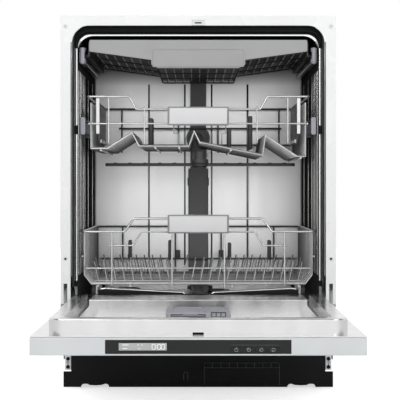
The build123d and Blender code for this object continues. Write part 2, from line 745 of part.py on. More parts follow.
hinge_x = (286.0, 290.0)
with BuildPart() as hinge_arms:
    for side in (-1, 1):
        with BuildSketch(sideways(side * hinge_x[0])):
            with BuildLine():
                Polyline((pivot_y - 8, pivot_z), (pivot_y - 8, 170), (face - 60, 170), (face - 60, 152),
                         (pivot_y + 8, 152), (pivot_y + 8, pivot_z), close=True)
            make_face()
            with Locations((pivot_y, pivot_z)):
                Circle(9.5)
        extrude(amount=side * (hinge_x[1] - hinge_x[0]))
        block(sorted((side * (hinge_x[1] - 0.5), side * (door_half - skin - 0.02))),
              (face - 58, face - 4), (152, 168))
        with BuildSketch(sideways(side * (hinge_x[0] - 1))):
            with Locations((pivot_y, pivot_z)):
                Circle(pin_radius + pin_clearance)
        extrude(amount=side * 8, mode=Mode.SUBTRACT)
finish(hinge_arms, "hinge_arms")

# ---------------------------------------------------------------------------
# Spray arms and the feed that carries the upper one
# ---------------------------------------------------------------------------
with BuildPart() as upper_spray_arm:
    with BuildSketch(Plane.XY.offset(upper_arm_z)):
        with BuildLine():
            Polyline((-219, arm_y - 14), (feed_x, arm_y - 22), (228, arm_y - 13), (228, arm_y + 13),
                     (feed_x, arm_y + 22), (-219, arm_y + 14), close=True)
        make_face()
        fillet(vertices(), 9)
        with Locations((feed_x, arm_y)):
            Circle(28)
    extrude(amount=7)
    fillet(upper_spray_arm.edges().group_by(Axis.Z)[-1], 2)
    with BuildSketch(Plane.XY.offset(upper_arm_z + 3)):
        with Locations(*[(feed_x + side * reach, arm_y + 4 * side) for side in (-1, 1)
                         for reach in (60, 95, 130, 165, 200)]):
            Circle(4)
    extrude(amount=5.2)
    with BuildSketch(Plane.XY.offset(upper_arm_z - 3)):
        with Locations((feed_x, arm_y)):
            Circle(16)
    extrude(amount=4)
finish(upper_spray_arm, "upper_spray_arm")

feed_z = 518.0
with BuildPart() as upper_arm_feed:
    with BuildSketch(Plane.XY.offset(upper_arm_z + 7.3)):
        with Locations((feed_x, arm_y)):
            Circle(20)
    extrude(amount=9)
    with BuildSketch(Plane.XY.offset(upper_arm_z + 15)):
        with Locations((feed_x, arm_y)):
            Circle(13)
    extrude(amount=feed_z + 10 - upper_arm_z - 15)
    with BuildSketch(upright(face + 477)):
        with Locations((feed_x, feed_z)):
            RectangleRounded(34, 20, 8)
    extrude(amount=face + 477 - arm_y)
    block((-13, 21), (face + 476.6, face + 485.2), (feed_z - 10, port_z - 12))
    with BuildSketch(upright(face + 485.4)):
        with Locations((0, port_z)):
            Circle(20)
            Circle(12, mode=Mode.SUBTRACT)
    extrude(amount=9)
finish(upper_arm_feed, "upper_arm_feed")

with BuildPart() as lower_spray_arm:
    with BuildSketch(Plane.XY.offset(lower_arm_z)):
        with BuildLine():
            Polyline((feed_x - 15, arm_y - 205), (feed_x + 15, arm_y - 205), (feed_x + 22, arm_y),
                     (feed_x + 15, arm_y + 205), (feed_x - 15, arm_y + 205), (feed_x - 22, arm_y),
                     close=True)
        make_face()
        fillet(vertices(), 9)
        with Locations((feed_x, arm_y)):
            Circle(30)
    extrude(amount=8)
    fillet(lower_spray_arm.edges().group_by(Axis.Z)[-1], 2.5)
    with BuildSketch(Plane.XY.offset(lower_arm_z + 3)):
        with Locations(*[(feed_x - 4 * side, arm_y + side * reach) for side in (-1, 1)
                         for reach in (60, 95, 130, 165, 190)]):
            Circle(4)
    extrude(amount=6.2)
    with BuildSketch(Plane.XY.offset(lower_arm_z - 12)):
        with Locations((feed_x, arm_y)):
            Circle(10.7)
    extrude(amount=13)
finish(lower_spray_arm, "lower_spray_arm")

# ---------------------------------------------------------------------------
# Upper basket: W-shaped ribs, rim, handle, telescopic rails and cup shelves
# ---------------------------------------------------------------------------
rib_count = 16
rib_first = basket_front + 6.0
rib_pitch = (basket_back - 6.0 - rib_first) / (rib_count - 1)
rib_profile = [(-238, 534), (-238, 529), (-202, 529), (-147, 564), (-131, 534.5), (-21, 534),
               (-9, 568), (3, 543), (143, 514), (149, 558), (219, 511.6), (238, 511.6), (238, 517)]
rib_ends = (rib_profile[0], rib_profile[-1])
with BuildPart() as upper_rib:
    mitred_wire([(x, rib_first, z) for x, z in rib_profile], wire_thin)
    for x, z in rib_ends:
        straight_wire((x, rib_first, z + weld_gap), (x, rib_first, 631), wire_thin)
tie_places = [(-216, 529), (-95, 534), (-42, 534), (72, 528.7), (227, 511.6)]
with BuildPart() as upper_basket_floor:
    copies(upper_rib, [(0, index * rib_pitch, 0) for index in range(rib_count)])
    for x, z in tie_places:
        drop = wire_thin + wire_mid + 0.4
        straight_wire((x, basket_front + 2, z - drop), (x, basket_back - 2, z - drop), wire_mid)
finish(upper_basket_floor, "upper_basket_floor")

weld = wire_thick + wire_mid + weld_gap
with BuildPart() as upper_basket_frame:
    rim = upper_rim_half
    side_rims(rim, upper_rim_z)
    bent_wire([(-rim + rim_return, basket_front, upper_rim_z), (-153, basket_front, upper_rim_z),
               (-138, basket_front, upper_dip_z), (138, basket_front, upper_dip_z),
               (153, basket_front, upper_rim_z), (rim - rim_return, basket_front, upper_rim_z)],
              wire_thick, 7.0)
    straight_wire((-rim + 4, basket_back, upper_rim_z - 4), (rim - 4, basket_back, upper_rim_z - 4), wire_thick)
    straight_wire((-236, basket_front, 584), (236, basket_front, 584), wire_mid)
    straight_wire((-200, basket_back, 591), (210, basket_back, 591), wire_thick)
    straight_wire((-150, basket_back, 549), (-30, basket_back, 549), wire_thick)
    straight_wire((30, basket_back, 549), (235, basket_back, 549), wire_thick)
    for side in (-1, 1):
        straight_wire((side * 241.8, basket_front + 4, 584), (side * 241.8, basket_back - 4, 584), wire_mid)
        straight_wire((side * 198, basket_front - weld, 541), (side * 198, basket_front - weld, 640), wire_mid)
        block(sorted((side * 219, side * 226)), (basket_front + 2.6, basket_front + 4.4), (562, 640))
    for x in (-193, -50, 50, 204):
        straight_wire((x, basket_back + weld, 530), (x, basket_back + weld, 640), wire_mid)
    for x in (-119, 130):
        straight_wire((x, basket_front - 4.4, 541), (x, basket_front - 4.4, 622), wire_thin)
finish(upper_basket_frame, "upper_basket_frame")


def basket_handle(low_z, high_z):
    """A curved grip plate hung between two heights on a basket's front."""
    with BuildPart() as handle:
        with BuildSketch(upright(basket_front - 4)):
            with Locations((0, (low_z + high_z) / 2)):
                RectangleRounded(2 * handle_half, high_z - low_z, 9)
        extrude(amount=13)
        fillet(handle.edges().group_by(Axis.Y)[0], 3)
        with BuildSketch(upright(basket_front - 3)):
            with Locations((0, (low_z + high_z) / 2 - 2)):
                RectangleRounded(2 * handle_half - 6, high_z - low_z - 7, 7)
        extrude(amount=11, mode=Mode.SUBTRACT)
    return handle


upper_basket_handle = basket_handle(579.5, 620.5)
finish(upper_basket_handle, "upper_basket_handle")

with BuildPart() as upper_rails:
    for side in (-1, 1):
        block(sorted((side * 251.9, side * 259.6)), (face + 64, face + 480), rail_z)
        block(sorted((side * 251, side * 257.8)), (face + 63, face + 481),
              (rail_z[0] + 3, rail_z[1] - 3), Mode.SUBTRACT)
        with BuildSketch(upright(face + 66)):
            with Locations((side * 255, sum(cap_z) / 2)):
                RectangleRounded(10, cap_z[1] - cap_z[0], 4)
        extrude(amount=11)
finish(upper_rails, "upper_rails")

shelf_hinge = (221.0, 628.0)
shelf_drop = 86.0
shelf_y = (face + 78.0, face + 292.0)


def cup_shelf(side):
    """A slotted shelf hanging from its hinge wire on one side of the basket."""
    with BuildPart() as shelf:
        block(sorted((side * (shelf_hinge[0] - 1.2), side * (shelf_hinge[0] + 1.2))), shelf_y,
              (shelf_hinge[1] - shelf_drop, shelf_hinge[1]))
        fillet(shelf.edges().filter_by(Axis.X).group_by(Axis.Z)[0], 10)
        with BuildSketch(upright(shelf_y[1])):
            with Locations((side * shelf_hinge[0], shelf_hinge[1])):
                Circle(3)
        extrude(amount=shelf_y[1] - shelf_y[0])
        with BuildSketch(sideways(side * (shelf_hinge[0] - 3))):
            with Locations((sum(shelf_y) / 2, shelf_hinge[1] - shelf_drop / 2 - 2)):
                with GridLocations(21, 1, 9, 1):
                    SlotOverall(62, 8, rotation=90)
        extrude(amount=side * 6, mode=Mode.SUBTRACT)
    return shelf


left_cup_shelf = cup_shelf(-1)
finish(left_cup_shelf, "left_cup_shelf")
right_cup_shelf = cup_shelf(1)
finish(right_cup_shelf, "right_cup_shelf")

# ---------------------------------------------------------------------------
# Lower basket: bevelled ribs, rim, tines, handle, wheels and folding rows
# ---------------------------------------------------------------------------
lower_rib_count = 12
lower_rib_first = basket_front + 8.0
lower_rib_pitch = (basket_back - 8.0 - lower_rib_first) / (lower_rib_count - 1)
side_x = lower_rim_half - wire_thick - wire_mid - weld_gap
bevel_top = 249.0
with BuildPart() as lower_rib:
    mitred_wire([(x, lower_rib_first, z) for x, z in
                 [(-side_x, bevel_top + 4), (-side_x, bevel_top), (-237, lower_floor_z),
                  (237, lower_floor_z), (side_x, bevel_top), (side_x, bevel_top + 4)]], wire_mid)
    for side in (-1, 1):
        straight_wire((side * side_x, lower_rib_first, bevel_top + 4 + weld_gap),
                      (side * side_x, lower_rib_first, lower_rim_z), wire_mid)
tine_pitch = 20.0
tine_height = 49.0
tine_lean = 9.0
fixed_row_depths = (112.0, 300.0, 416.0)
left_tine_x = [-225 + tine_pitch * index for index in range(9)]
right_tine_x = [-35 + tine_pitch * index for index in range(14)]
with BuildPart() as lower_basket_floor:
    copies(lower_rib, [(0, index * lower_rib_pitch, 0) for index in range(lower_rib_count)])
    tie_z = lower_floor_z - 2 * wire_mid - 0.4
    for x in (-222, -150, -75, 75, 150, 222):
        straight_wire((x, basket_front + 2, tie_z), (x, basket_back - 2, tie_z), wire_mid)
    row_z = lower_floor_z + 2 * wire_mid + 0.4
    for depth in fixed_row_depths:
        straight_wire((-232, face + depth, row_z), (232, face + depth, row_z), wire_mid)
        for x in left_tine_x:
            straight_wire((x, face + depth, row_z), (x - tine_lean, face + depth, row_z + tine_height - 6),
                          wire_thin)
        for x in right_tine_x:
            straight_wire((x, face + depth, row_z), (x + tine_lean, face + depth, row_z + tine_height - 6),
                          wire_thin)
finish(lower_basket_floor, "lower_basket_floor")

peak_half = 100.0
with BuildPart() as lower_basket_frame:
    rim = lower_rim_half
    side_rims(rim, lower_rim_z)
    for side in (-1, 1):
        bent_wire([(side * (rim - rim_return), basket_front, lower_rim_z),
                   (side * 163, basket_front, lower_rim_z), (side * 143, basket_front, lower_peak_z),
                   (side * (peak_half + weld_gap), basket_front, lower_peak_z)], wire_thick, 8.0)
    straight_wire((-peak_half, basket_front, lower_peak_z), (peak_half, basket_front, lower_peak_z),
                  wire_thick)
    straight_wire((-rim + 5, basket_back, lower_rim_z - 1), (rim - 5, basket_back, lower_rim_z - 1), wire_thick)
    second_y = basket_front + 4.4
    bent_wire([(-197, second_y, 314), (-144.6, second_y, 314), (-125.6, second_y, 344.5),
               (125.6, second_y, 344.5), (144.6, second_y, 314), (197, second_y, 314)], wire_mid, 5.0)
    straight_wire((-rim + 8, basket_front, 264), (rim - 8, basket_front, 264), wire_mid)
    straight_wire((-rim + 8, basket_back, 263), (rim - 8, basket_back, 263), wire_thick)
    for side in (-1, 1):
        straight_wire((side * rim, basket_front + 8, 290), (side * rim, basket_back - 8, 290), wire_mid)
        for x, foot, top in ((191, 226.5, 343), (58, 219, 339)):
            straight_wire((side * x, basket_front - 4.4, foot), (side * x, basket_front - 4.4, top), wire_mid)
            straight_wire((side * x, basket_back + 4.4, 225), (side * x, basket_back + 4.4, 343), wire_mid)
        for depth in (face + 112, face + 428):
            carrier = sorted((side * (wheel_x - 8.5), side * (wheel_x - 5.5)))
            block(carrier, (depth - 12, depth + 12), (204, 222.8))
            with BuildSketch(sideways(side * (wheel_x - 7))):
                with Locations((depth, track_z + wheel_radius)):
                    Circle(3)
            extrude(amount=side * 10.5)
finish(lower_basket_frame, "lower_basket_frame")

lower_basket_handle = basket_handle(341.5, 382.5)
finish(lower_basket_handle, "lower_basket_handle")


def wheel_pair(depth):
    """The left and right wheels that roll on the track at one depth."""
    with BuildPart() as wheels:
        for side in (-1, 1):
            start = wheel_x - 4.5
            with BuildSketch(sideways(side * start)):
                with Locations((depth, track_z + wheel_radius)):
                    Circle(wheel_radius - 0.1)
            extrude(amount=side * 8)
            with BuildSketch(sideways(side * (start - 1))):
                with Locations((depth, track_z + wheel_radius)):
                    Circle(3.15)
                    with PolarLocations(8.3, 6):
                        Circle(1.8)
            extrude(amount=side * 10, mode=Mode.SUBTRACT)
    return wheels


lower_wheels_front = wheel_pair(face + 112)
finish(lower_wheels_front, "lower_wheels_front")
lower_wheels_rear = wheel_pair(face + 428)
finish(lower_wheels_rear, "lower_wheels_rear")

fold_depths = (150.0, 246.0)
fold_z = lower_floor_z + 2 * wire_mid + 1.6


def tine_row(places, lean, depth):
    """A folding row of tines on its own hinge wire."""
    ends = (min(places) - 6, max(places) + 6)
    with BuildPart() as row:
        straight_wire((ends[0], face + depth, fold_z), (ends[1], face + depth, fold_z), wire_mid)
        for x in places:
            straight_wire((x, face + depth, fold_z), (x + lean, face + depth, fold_z + tine_height), wire_thin)
    return row


left_tines = tine_row(left_tine_x, -tine_lean, fold_depths[0])
finish(left_tines, "left_tines")
right_tines = tine_row(right_tine_x, tine_lean, fold_depths[0])
finish(right_tines, "right_tines")

# ---------------------------------------------------------------------------
# Cutlery tray under the ceiling
# ---------------------------------------------------------------------------
tray_half = 239.0
tray_front = face + 31.0
tray_end = face + 486.0
with BuildPart() as cutlery_tray_front:
    with BuildSketch(upright(tray_front + 3)):
        with BuildLine():
            Polyline((-tray_half, 766), (-tray_half, 741), (-93, 721), (-91, 704.5), (91, 704.5), (93, 721),
                     (tray_half, 741), (tray_half, 766), close=True)
        make_face()
        fillet(vertices(), 3)
    extrude(amount=3)
    with BuildSketch(upright(tray_front)):
        with Locations((0, 727.2)):
            RectangleRounded(2 * 133 - 60, 34.5, 4)
    extrude(amount=0.8)
finish(cutlery_tray_front, "cutlery_tray_front")


def tray_height(x):
    """Height of the tray's wire floor at a distance from its middle."""
    reach = abs(x)
    if reach < 92:
        return 709.6
    return 726.0 + 0.137 * (reach - 93)


tray_wire_count = 25
tray_wire_pitch = 19.3
with BuildPart() as cutlery_tray_wires:
    for index in range(tray_wire_count):
        x = (index - (tray_wire_count - 1) / 2) * tray_wire_pitch
        straight_wire((x, tray_front + 3.1, tray_height(x)), (x, tray_end, tray_height(x)), wire_thin)
    for depth in (60.0, 200.0, 340.0, 480.0):
        drop = 2 * wire_thin + 0.6
        bent_wire([(x, face + depth, z - drop + 2.6) for x, z in
                   [(-tray_half + 2, 743), (-95, 723.4), (-89, 707), (89, 707), (95, 723.4),
                    (tray_half - 2, 743)]], wire_thin, 2.5)
    for side in (-1, 1):
        block(sorted((side * 240.5, side * 256.5)), (face + 60, face + 470), (731, 737))
        block(sorted((side * 238.2, side * 241.2)), (tray_front + 3.1, tray_end), (731, 760))
finish(cutlery_tray_wires, "cutlery_tray_wires")
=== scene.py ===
"""Looks of a built-in dishwasher with its door down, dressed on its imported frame."""

import logging
import math
from dataclasses import dataclass
from enum import Enum

import bpy
from bpy.types import Material, Node, NodeSocket as Socket, NodeTree as Tree, Object as Piece
from mathutils import Matrix, Vector


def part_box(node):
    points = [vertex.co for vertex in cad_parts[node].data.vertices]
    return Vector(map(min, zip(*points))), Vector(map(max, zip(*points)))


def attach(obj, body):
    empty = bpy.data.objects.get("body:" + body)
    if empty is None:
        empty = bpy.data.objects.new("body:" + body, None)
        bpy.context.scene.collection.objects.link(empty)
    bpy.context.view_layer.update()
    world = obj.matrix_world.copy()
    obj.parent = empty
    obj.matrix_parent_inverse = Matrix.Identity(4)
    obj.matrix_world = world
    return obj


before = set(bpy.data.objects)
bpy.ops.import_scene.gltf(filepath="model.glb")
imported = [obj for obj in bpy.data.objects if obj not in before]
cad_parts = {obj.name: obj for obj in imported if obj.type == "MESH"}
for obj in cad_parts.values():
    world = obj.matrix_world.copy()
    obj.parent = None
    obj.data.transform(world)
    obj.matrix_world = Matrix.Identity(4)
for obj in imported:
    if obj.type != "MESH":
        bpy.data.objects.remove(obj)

log = logging.getLogger("dishwasher")

Colour = tuple[float, float, float]
Point = tuple[float, float, float]
Span = tuple[float, float]

MM = 0.001
MASK_LOW, MASK_HIGH = 0.35, 0.65
TUB_WALL = 264 * MM
RAIL_CAP, GUIDE_CAP = 11.0 * MM, 8.0 * MM
FACING = 0.98
SMOOTH_ANGLE = math.radians(40)


def mm(*values: float) -> tuple[float, ...]:
    """Turns millimetres into metres."""
    return tuple(value * MM for value in values)


class Slot(Enum):
    """Material slots of the record, passed along with new pieces but not given to them."""

    STAINLESS = "stainless"
    WHITE = "white_sheet"
    GLASS = "black_glass"
    RUBBER = "black_rubber"
    BLACK = "black_plastic"
    DARK_GREY = "dark_grey_plastic"
    LAVENDER = "lavender_plastic"
    PALE = "pale_plastic"
    WIRE = "coated_wire"
    TRAY = "tray_grey"


# --------------------------------------------------------------------------
# Node bench: short calls that place and join shader nodes
# --------------------------------------------------------------------------
class NodeBench:
    """Places nodes in one shader tree and joins their sockets."""

    def __init__(self, tree: Tree) -> None:
        """Takes the tree to work on.

        Args:
            tree: a material's node tree or a node group.
        """
        self.tree = tree

    def add(self, kind: str, **settings: object) -> Node:
        """Adds a node and sets its properties.

        Args:
            kind: the node's type name.
            settings: properties of the node by name.

        Returns:
            The new node.
        """
        node = self.tree.nodes.new(kind)
        for name, value in settings.items():
            setattr(node, name, value)
        return node

    def join(self, source: Socket, target: Socket) -> None:
        """Joins an output socket to an input socket."""
        self.tree.links.new(source, target)

    def axes(self) -> Node:
        """Splits the object's own coordinates into X, Y and Z.

        Returns:
            The node that puts out the three values.
        """
        place = self.add("ShaderNodeTexCoord")
        apart = self.add("ShaderNodeSeparateXYZ")
        self.join(place.outputs["Object"], apart.inputs[0])
        return apart

    def combine(self, operation: str, *sources: Socket) -> Socket:
        """Works out one value from others.

        Args:
            operation: the sum to do, such as MULTIPLY.
            sources: the values' sockets.

        Returns:
            The result's socket.
        """
        node = self.add("ShaderNodeMath", operation=operation)
        for source, socket in zip(sources, node.inputs):
            self.join(source, socket)
        return node.outputs[0]

    def ramp(self, source: Socket, low: float, high: float,
             to_low: float = 0.0, to_high: float = 1.0) -> Socket:
        """Maps a value from one range to another, held at the ends.

        Args:
            source: the value's socket.
            low: value that becomes to_low.
            high: value that becomes to_high.
            to_low: result at low.
            to_high: result at high.

        Returns:
            The mapped value's socket.
        """
        node = self.add("ShaderNodeMapRange")
        node.inputs["From Min"].default_value = low
        node.inputs["From Max"].default_value = high
        node.inputs["To Min"].default_value = to_low
        node.inputs["To Max"].default_value = to_high
        self.join(source, node.inputs["Value"])
        return node.outputs["Result"]

    def blend(self, factor: Socket, first: object, second: object) -> Socket:
        """Mixes two colours, each given as a colour or a socket.

        Args:
            factor: socket of the share of the second colour.
            first: colour or socket at factor 0.
            second: colour or socket at factor 1.

        Returns:
            The mixed colour's socket.
        """
        node = self.add("ShaderNodeMix", data_type="RGBA")
        self.join(factor, node.inputs["Factor"])
        for name, value in (("A", first), ("B", second)):
            socket = next(s for s in node.inputs if s.name == name and s.type == "RGBA")
            if isinstance(value, Socket):
                self.join(value, socket)
            else:
                socket.default_value = (*value, 1.0)
        return next(s for s in node.outputs if s.type == "RGBA")


def new_group(
        name: str, inputs: dict[str, float], outputs: dict[str, str],
) -> tuple[Tree, NodeBench, Node, Node]:
    """Makes an empty shader node group with its sockets.

    Args:
        name: the group's name.
        inputs: float inputs and their defaults.
        outputs: output names and their socket types.

    Returns:
        The group, its bench, its input node and its output node.
    """
    group = bpy.data.node_groups.new(name, "ShaderNodeTree")
    for label, value in inputs.items():
        socket = group.interface.new_socket(label, in_out="INPUT", socket_type="NodeSocketFloat")
        socket.default_value = value
    for label, kind in outputs.items():
        group.interface.new_socket(label, in_out="OUTPUT", socket_type=kind)
    bench = NodeBench(group)
    return group, bench, bench.add("NodeGroupInput"), bench.add("NodeGroupOutput")


def make_grain() -> Tree:
    """Builds the moulded or sprayed grain shared by the plastics, rubber and paint.

    Returns:
        A group that puts out a fine height and a broad patchiness mask.
    """
    group, bench, ins, outs = new_group(
        "moulded_grain", {"Scale": 900.0, "Patch Scale": 9.0},
        {"Height": "NodeSocketFloat", "Patch": "NodeSocketFloat"})
    place = bench.add("ShaderNodeTexCoord")
    for scale, output, detail in (("Scale", "Height", 3.0), ("Patch Scale", "Patch", 4.0)):
        noise = bench.add("ShaderNodeTexNoise")
        noise.inputs["Detail"].default_value = detail
        bench.join(place.outputs["Object"], noise.inputs["Vector"])
        bench.join(ins.outputs[scale], noise.inputs["Scale"])
        bench.join(noise.outputs["Fac"], outs.inputs[output])
    return group


def make_streaks() -> Tree:
    """Builds the upright polishing streaks of rolled stainless sheet.

    Returns:
        A group that puts out a streak height and a broad streak mask.
    """
    group, bench, ins, outs = new_group(
        "rolled_streaks", {"Across": 420.0, "Along": 6.0},
        {"Height": "NodeSocketFloat", "Streak": "NodeSocketFloat"})
    place = bench.add("ShaderNodeTexCoord")
    for share, output, detail in ((1.0, "Height", 2.0), (0.06, "Streak", 3.0)):
        across = bench.add("ShaderNodeMath", operation="MULTIPLY")
        across.inputs[1].default_value = share
        bench.join(ins.outputs["Across"], across.inputs[0])
        stretch = bench.add("ShaderNodeCombineXYZ")
        bench.join(across.outputs[0], stretch.inputs["X"])
        bench.join(across.outputs[0], stretch.inputs["Y"])
        bench.join(ins.outputs["Along"], stretch.inputs["Z"])
        scaled = bench.add("ShaderNodeVectorMath", operation="MULTIPLY")
        bench.join(place.outputs["Object"], scaled.inputs[0])
        bench.join(stretch.outputs[0], scaled.inputs[1])
        noise = bench.add("ShaderNodeTexNoise")
        noise.inputs["Scale"].default_value = 1.0
        noise.inputs["Detail"].default_value = detail
        bench.join(scaled.outputs[0], noise.inputs["Vector"])
        bench.join(noise.outputs["Fac"], outs.inputs[output])
    return group


class Groups:
    """The shared node groups, each built once."""

    grain: Tree = make_grain()
    streaks: Tree = make_streaks()


def toned(colour: Colour, share: float) -> Colour:
    """Lightens or darkens a colour by a share."""
    return tuple(share * part for part in colour)


def start_material(name: str) -> tuple[Material, NodeBench, Node]:
    """Starts a material with its bench and its surface shader.

    Args:
        name: the material's name.

    Returns:
        The material, its bench and its Principled node.
    """
    material = bpy.data.materials.new(name)
    material.use_nodes = True
    bench = NodeBench(material.node_tree)
    return material, bench, material.node_tree.nodes["Principled BSDF"]


def add_bump(bench: NodeBench, shader: Node, height: Socket, strength: float, distance: float) -> None:
    """Feeds a height to a shader's normal.

    Args:
        bench: the material's bench.
        shader: the surface shader.
        height: the height's socket.
        strength: share of the bump, from 0 to 1.
        distance: depth of the relief in metres.
    """
    bump = bench.add("ShaderNodeBump")
    bump.inputs["Strength"].default_value = strength
    bump.inputs["Distance"].default_value = distance
    bench.join(height, bump.inputs["Height"])
    bench.join(bump.outputs["Normal"], shader.inputs["Normal"])


def add_group(bench: NodeBench, group: Tree, **values: float) -> Node:
    """Places a shared group in a material with its own values.

    Args:
        bench: the material's bench.
        group: the group to place.
        values: input values, with _ for a space.

    Returns:
        The group's node.
    """
    node = bench.add("ShaderNodeGroup", node_tree=group)
    for name, value in values.items():
        node.inputs[name.replace("_", " ")].default_value = value
    return node


# --------------------------------------------------------------------------
# Finishes
# --------------------------------------------------------------------------
@dataclass(frozen=True)
class Finish:
    """A finish that can be built as a material."""

    def build(self, name: str) -> Material:
        """Builds the material.

        Args:
            name: the material's name.

        Returns:
            The material.
        """
        material, bench, shader = start_material(name)
        self.dress(bench, shader)
        return material

    def dress(self, bench: NodeBench, shader: Node) -> None:
        """Sets up the finish on a fresh material.

        Args:
            bench: the material's bench.
            shader: its surface shader.
        """
        raise NotImplementedError


@dataclass(frozen=True)
class Steel(Finish):
    """Polished stainless sheet with faint streaks along its rolling direction."""

    light: Colour = (0.80, 0.80, 0.795)
    dark: Colour = (0.66, 0.66, 0.665)
    rough_low: float = 0.16
    rough_high: float = 0.26
    across: float = 420.0
    along: float = 6.0
    relief: float = 0.05

    def dress(self, bench: NodeBench, shader: Node) -> None:
        """Lays streaks into the tone, the gloss and the relief."""
        shader.inputs["Metallic"].default_value = 1.0
        streaks = add_group(bench, Groups.streaks, Across=self.across, Along=self.along)
        colour = bench.blend(streaks.outputs["Streak"], self.dark, self.light)
        bench.join(colour, shader.inputs["Base Color"])
        rough = bench.ramp(streaks.outputs["Streak"], MASK_LOW, MASK_HIGH, self.rough_low, self.rough_high)
        bench.join(rough, shader.inputs["Roughness"])
        add_bump(bench, shader, streaks.outputs["Height"], self.relief, 0.0004)


@dataclass(frozen=True)
class Moulded(Finish):
    """Moulded plastic or rubber, or sprayed enamel, with a fine grain and faint patches."""

    colour: Colour
    shade: Colour
    rough_low: float = 0.35
    rough_high: float = 0.5
    grain: float = 900.0
    relief: float = 0.12
    depth: float = 0.00015
    metal: float = 0.0
    coat: float = 0.0
    shine: float = 0.5

    def dress(self, bench: NodeBench, shader: Node) -> None:
        """Lays the grain into the tone, the gloss and the relief."""
        grain = add_group(bench, Groups.grain, Scale=self.grain)
        patch = bench.ramp(grain.outputs["Patch"], MASK_LOW, MASK_HIGH)
        bench.join(bench.blend(patch, self.shade, self.colour), shader.inputs["Base Color"])
        rough = bench.ramp(grain.outputs["Patch"], MASK_LOW, MASK_HIGH, self.rough_low, self.rough_high)
        bench.join(rough, shader.inputs["Roughness"])
        shader.inputs["Metallic"].default_value = self.metal
        shader.inputs["Coat Weight"].default_value = self.coat
        shader.inputs["Specular IOR Level"].default_value = self.shine
        shader.inputs["Coat Roughness"].default_value = 0.08
        add_bump(bench, shader, grain.outputs["Height"], self.relief, self.depth)


@dataclass(frozen=True)
class TubSteel(Finish):
    """Polished tub sheet with painted shade on the ceiling, the top of the back wall and the side walls."""

    wall: float
    across: float = 70.0
    along: float = 0.6
    lit: Colour = (0.93, 0.93, 0.93)
    # painted shade: near-black on the side walls and the ceiling, lighter along the streaks on the side
    # walls
    deep: Colour = (0.010, 0.010, 0.010)
    streaked_painted_shade: Colour = (0.085, 0.085, 0.085)
    # heights over which the painted shade of the ceiling and the back wall's top fades in
    ceiling: tuple[float, float] = mm(700, 762)

    def dress(self, bench: NodeBench, shader: Node) -> None:
        """Paints shade onto the sheet by its place in the tub, dulling its metal and gloss where the shade
        is painted.
        """
        apart = bench.axes()
        away = bench.combine("ABSOLUTE", apart.outputs["X"])
        streaks = add_group(bench, Groups.streaks, Across=self.across, Along=self.along)
        # painted shade masks: the side walls by X, the ceiling and the top of the back wall by Z
        side = bench.ramp(away, self.wall - 6 * MM, self.wall - 1 * MM)
        top = bench.ramp(apart.outputs["Z"], *self.ceiling)
        painted_shade_bands = bench.blend(streaks.outputs["Streak"], self.deep, self.streaked_painted_shade)
        colour = bench.blend(side, self.lit, painted_shade_bands)
        colour = bench.blend(top, colour, self.deep)
        shaded = bench.combine("MAXIMUM", side, top)
        bench.join(bench.ramp(shaded, 0.0, 1.0, 1.0, 0.0), shader.inputs["Metallic"])
        bench.join(bench.ramp(shaded, 0.0, 1.0, 0.5, 0.0), shader.inputs["Specular IOR Level"])
        bench.join(colour, shader.inputs["Base Color"])
        fine = add_group(bench, Groups.streaks, Across=420.0, Along=6.0)
        rough = bench.ramp(fine.outputs["Streak"], MASK_LOW, MASK_HIGH, 0.34, 0.37)
        bench.join(rough, shader.inputs["Roughness"])
        add_bump(bench, shader, fine.outputs["Height"], 0.012, 0.0002)


@dataclass(frozen=True)
class CoatedWire(Finish):
    """Coated wire with painted shade that darkens it from a basket's front toward its back."""

    front: float
    back: float
    bright: Colour = (0.74, 0.74, 0.745)
    # painted shade at the basket's back
    painted_back_shade: Colour = (0.10, 0.10, 0.10)

    def dress(self, bench: NodeBench, shader: Node) -> None:
        """Paints shade onto the wire by its depth in the basket."""
        apart = bench.axes()
        # share of the painted shade, growing from the basket's front to its back
        depth = bench.ramp(apart.outputs["Y"], self.front, self.back)
        grain = add_group(bench, Groups.grain, Scale=900.0)
        patch = bench.ramp(grain.outputs["Patch"], MASK_LOW, MASK_HIGH)
        tone = bench.blend(patch, self.bright, toned(self.bright, 0.9))
        bench.join(bench.blend(depth, tone, self.painted_back_shade), shader.inputs["Base Color"])
        shader.inputs["Metallic"].default_value = 0.6
        bench.join(bench.ramp(depth, 0.0, 1.0, 0.24, 0.34), shader.inputs["Roughness"])
        add_bump(bench, shader, grain.outputs["Height"], 0.08, 0.0001)


@dataclass(frozen=True)
class CappedRail(Finish):
    """Rolled steel rail whose front end carries a plastic cap."""

    cap_end: float
    joint: float = 0.4 * MM
    steel: Colour = (0.30, 0.30, 0.31)
    cap: Colour = (0.42, 0.42, 0.47)

    def dress(self, bench: NodeBench, shader: Node) -> None:
        """Parts the steel from its cap by depth."""
        apart = bench.axes()
        rail = bench.ramp(apart.outputs["Y"], self.cap_end, self.cap_end + self.joint)
        grain = add_group(bench, Groups.grain, Scale=700.0)
        shade = bench.ramp(grain.outputs["Patch"], 0.3, 0.7)
        cap = bench.blend(shade, self.cap, toned(self.cap, 1.08))
        steel = bench.blend(shade, self.steel, toned(self.steel, 1.25))
        bench.join(bench.blend(rail, cap, steel), shader.inputs["Base Color"])
        bench.join(rail, shader.inputs["Metallic"])
        bench.join(bench.ramp(rail, 0.0, 1.0, 0.42, 0.3), shader.inputs["Roughness"])
        add_bump(bench, shader, grain.outputs["Height"], 0.1, 0.0001)


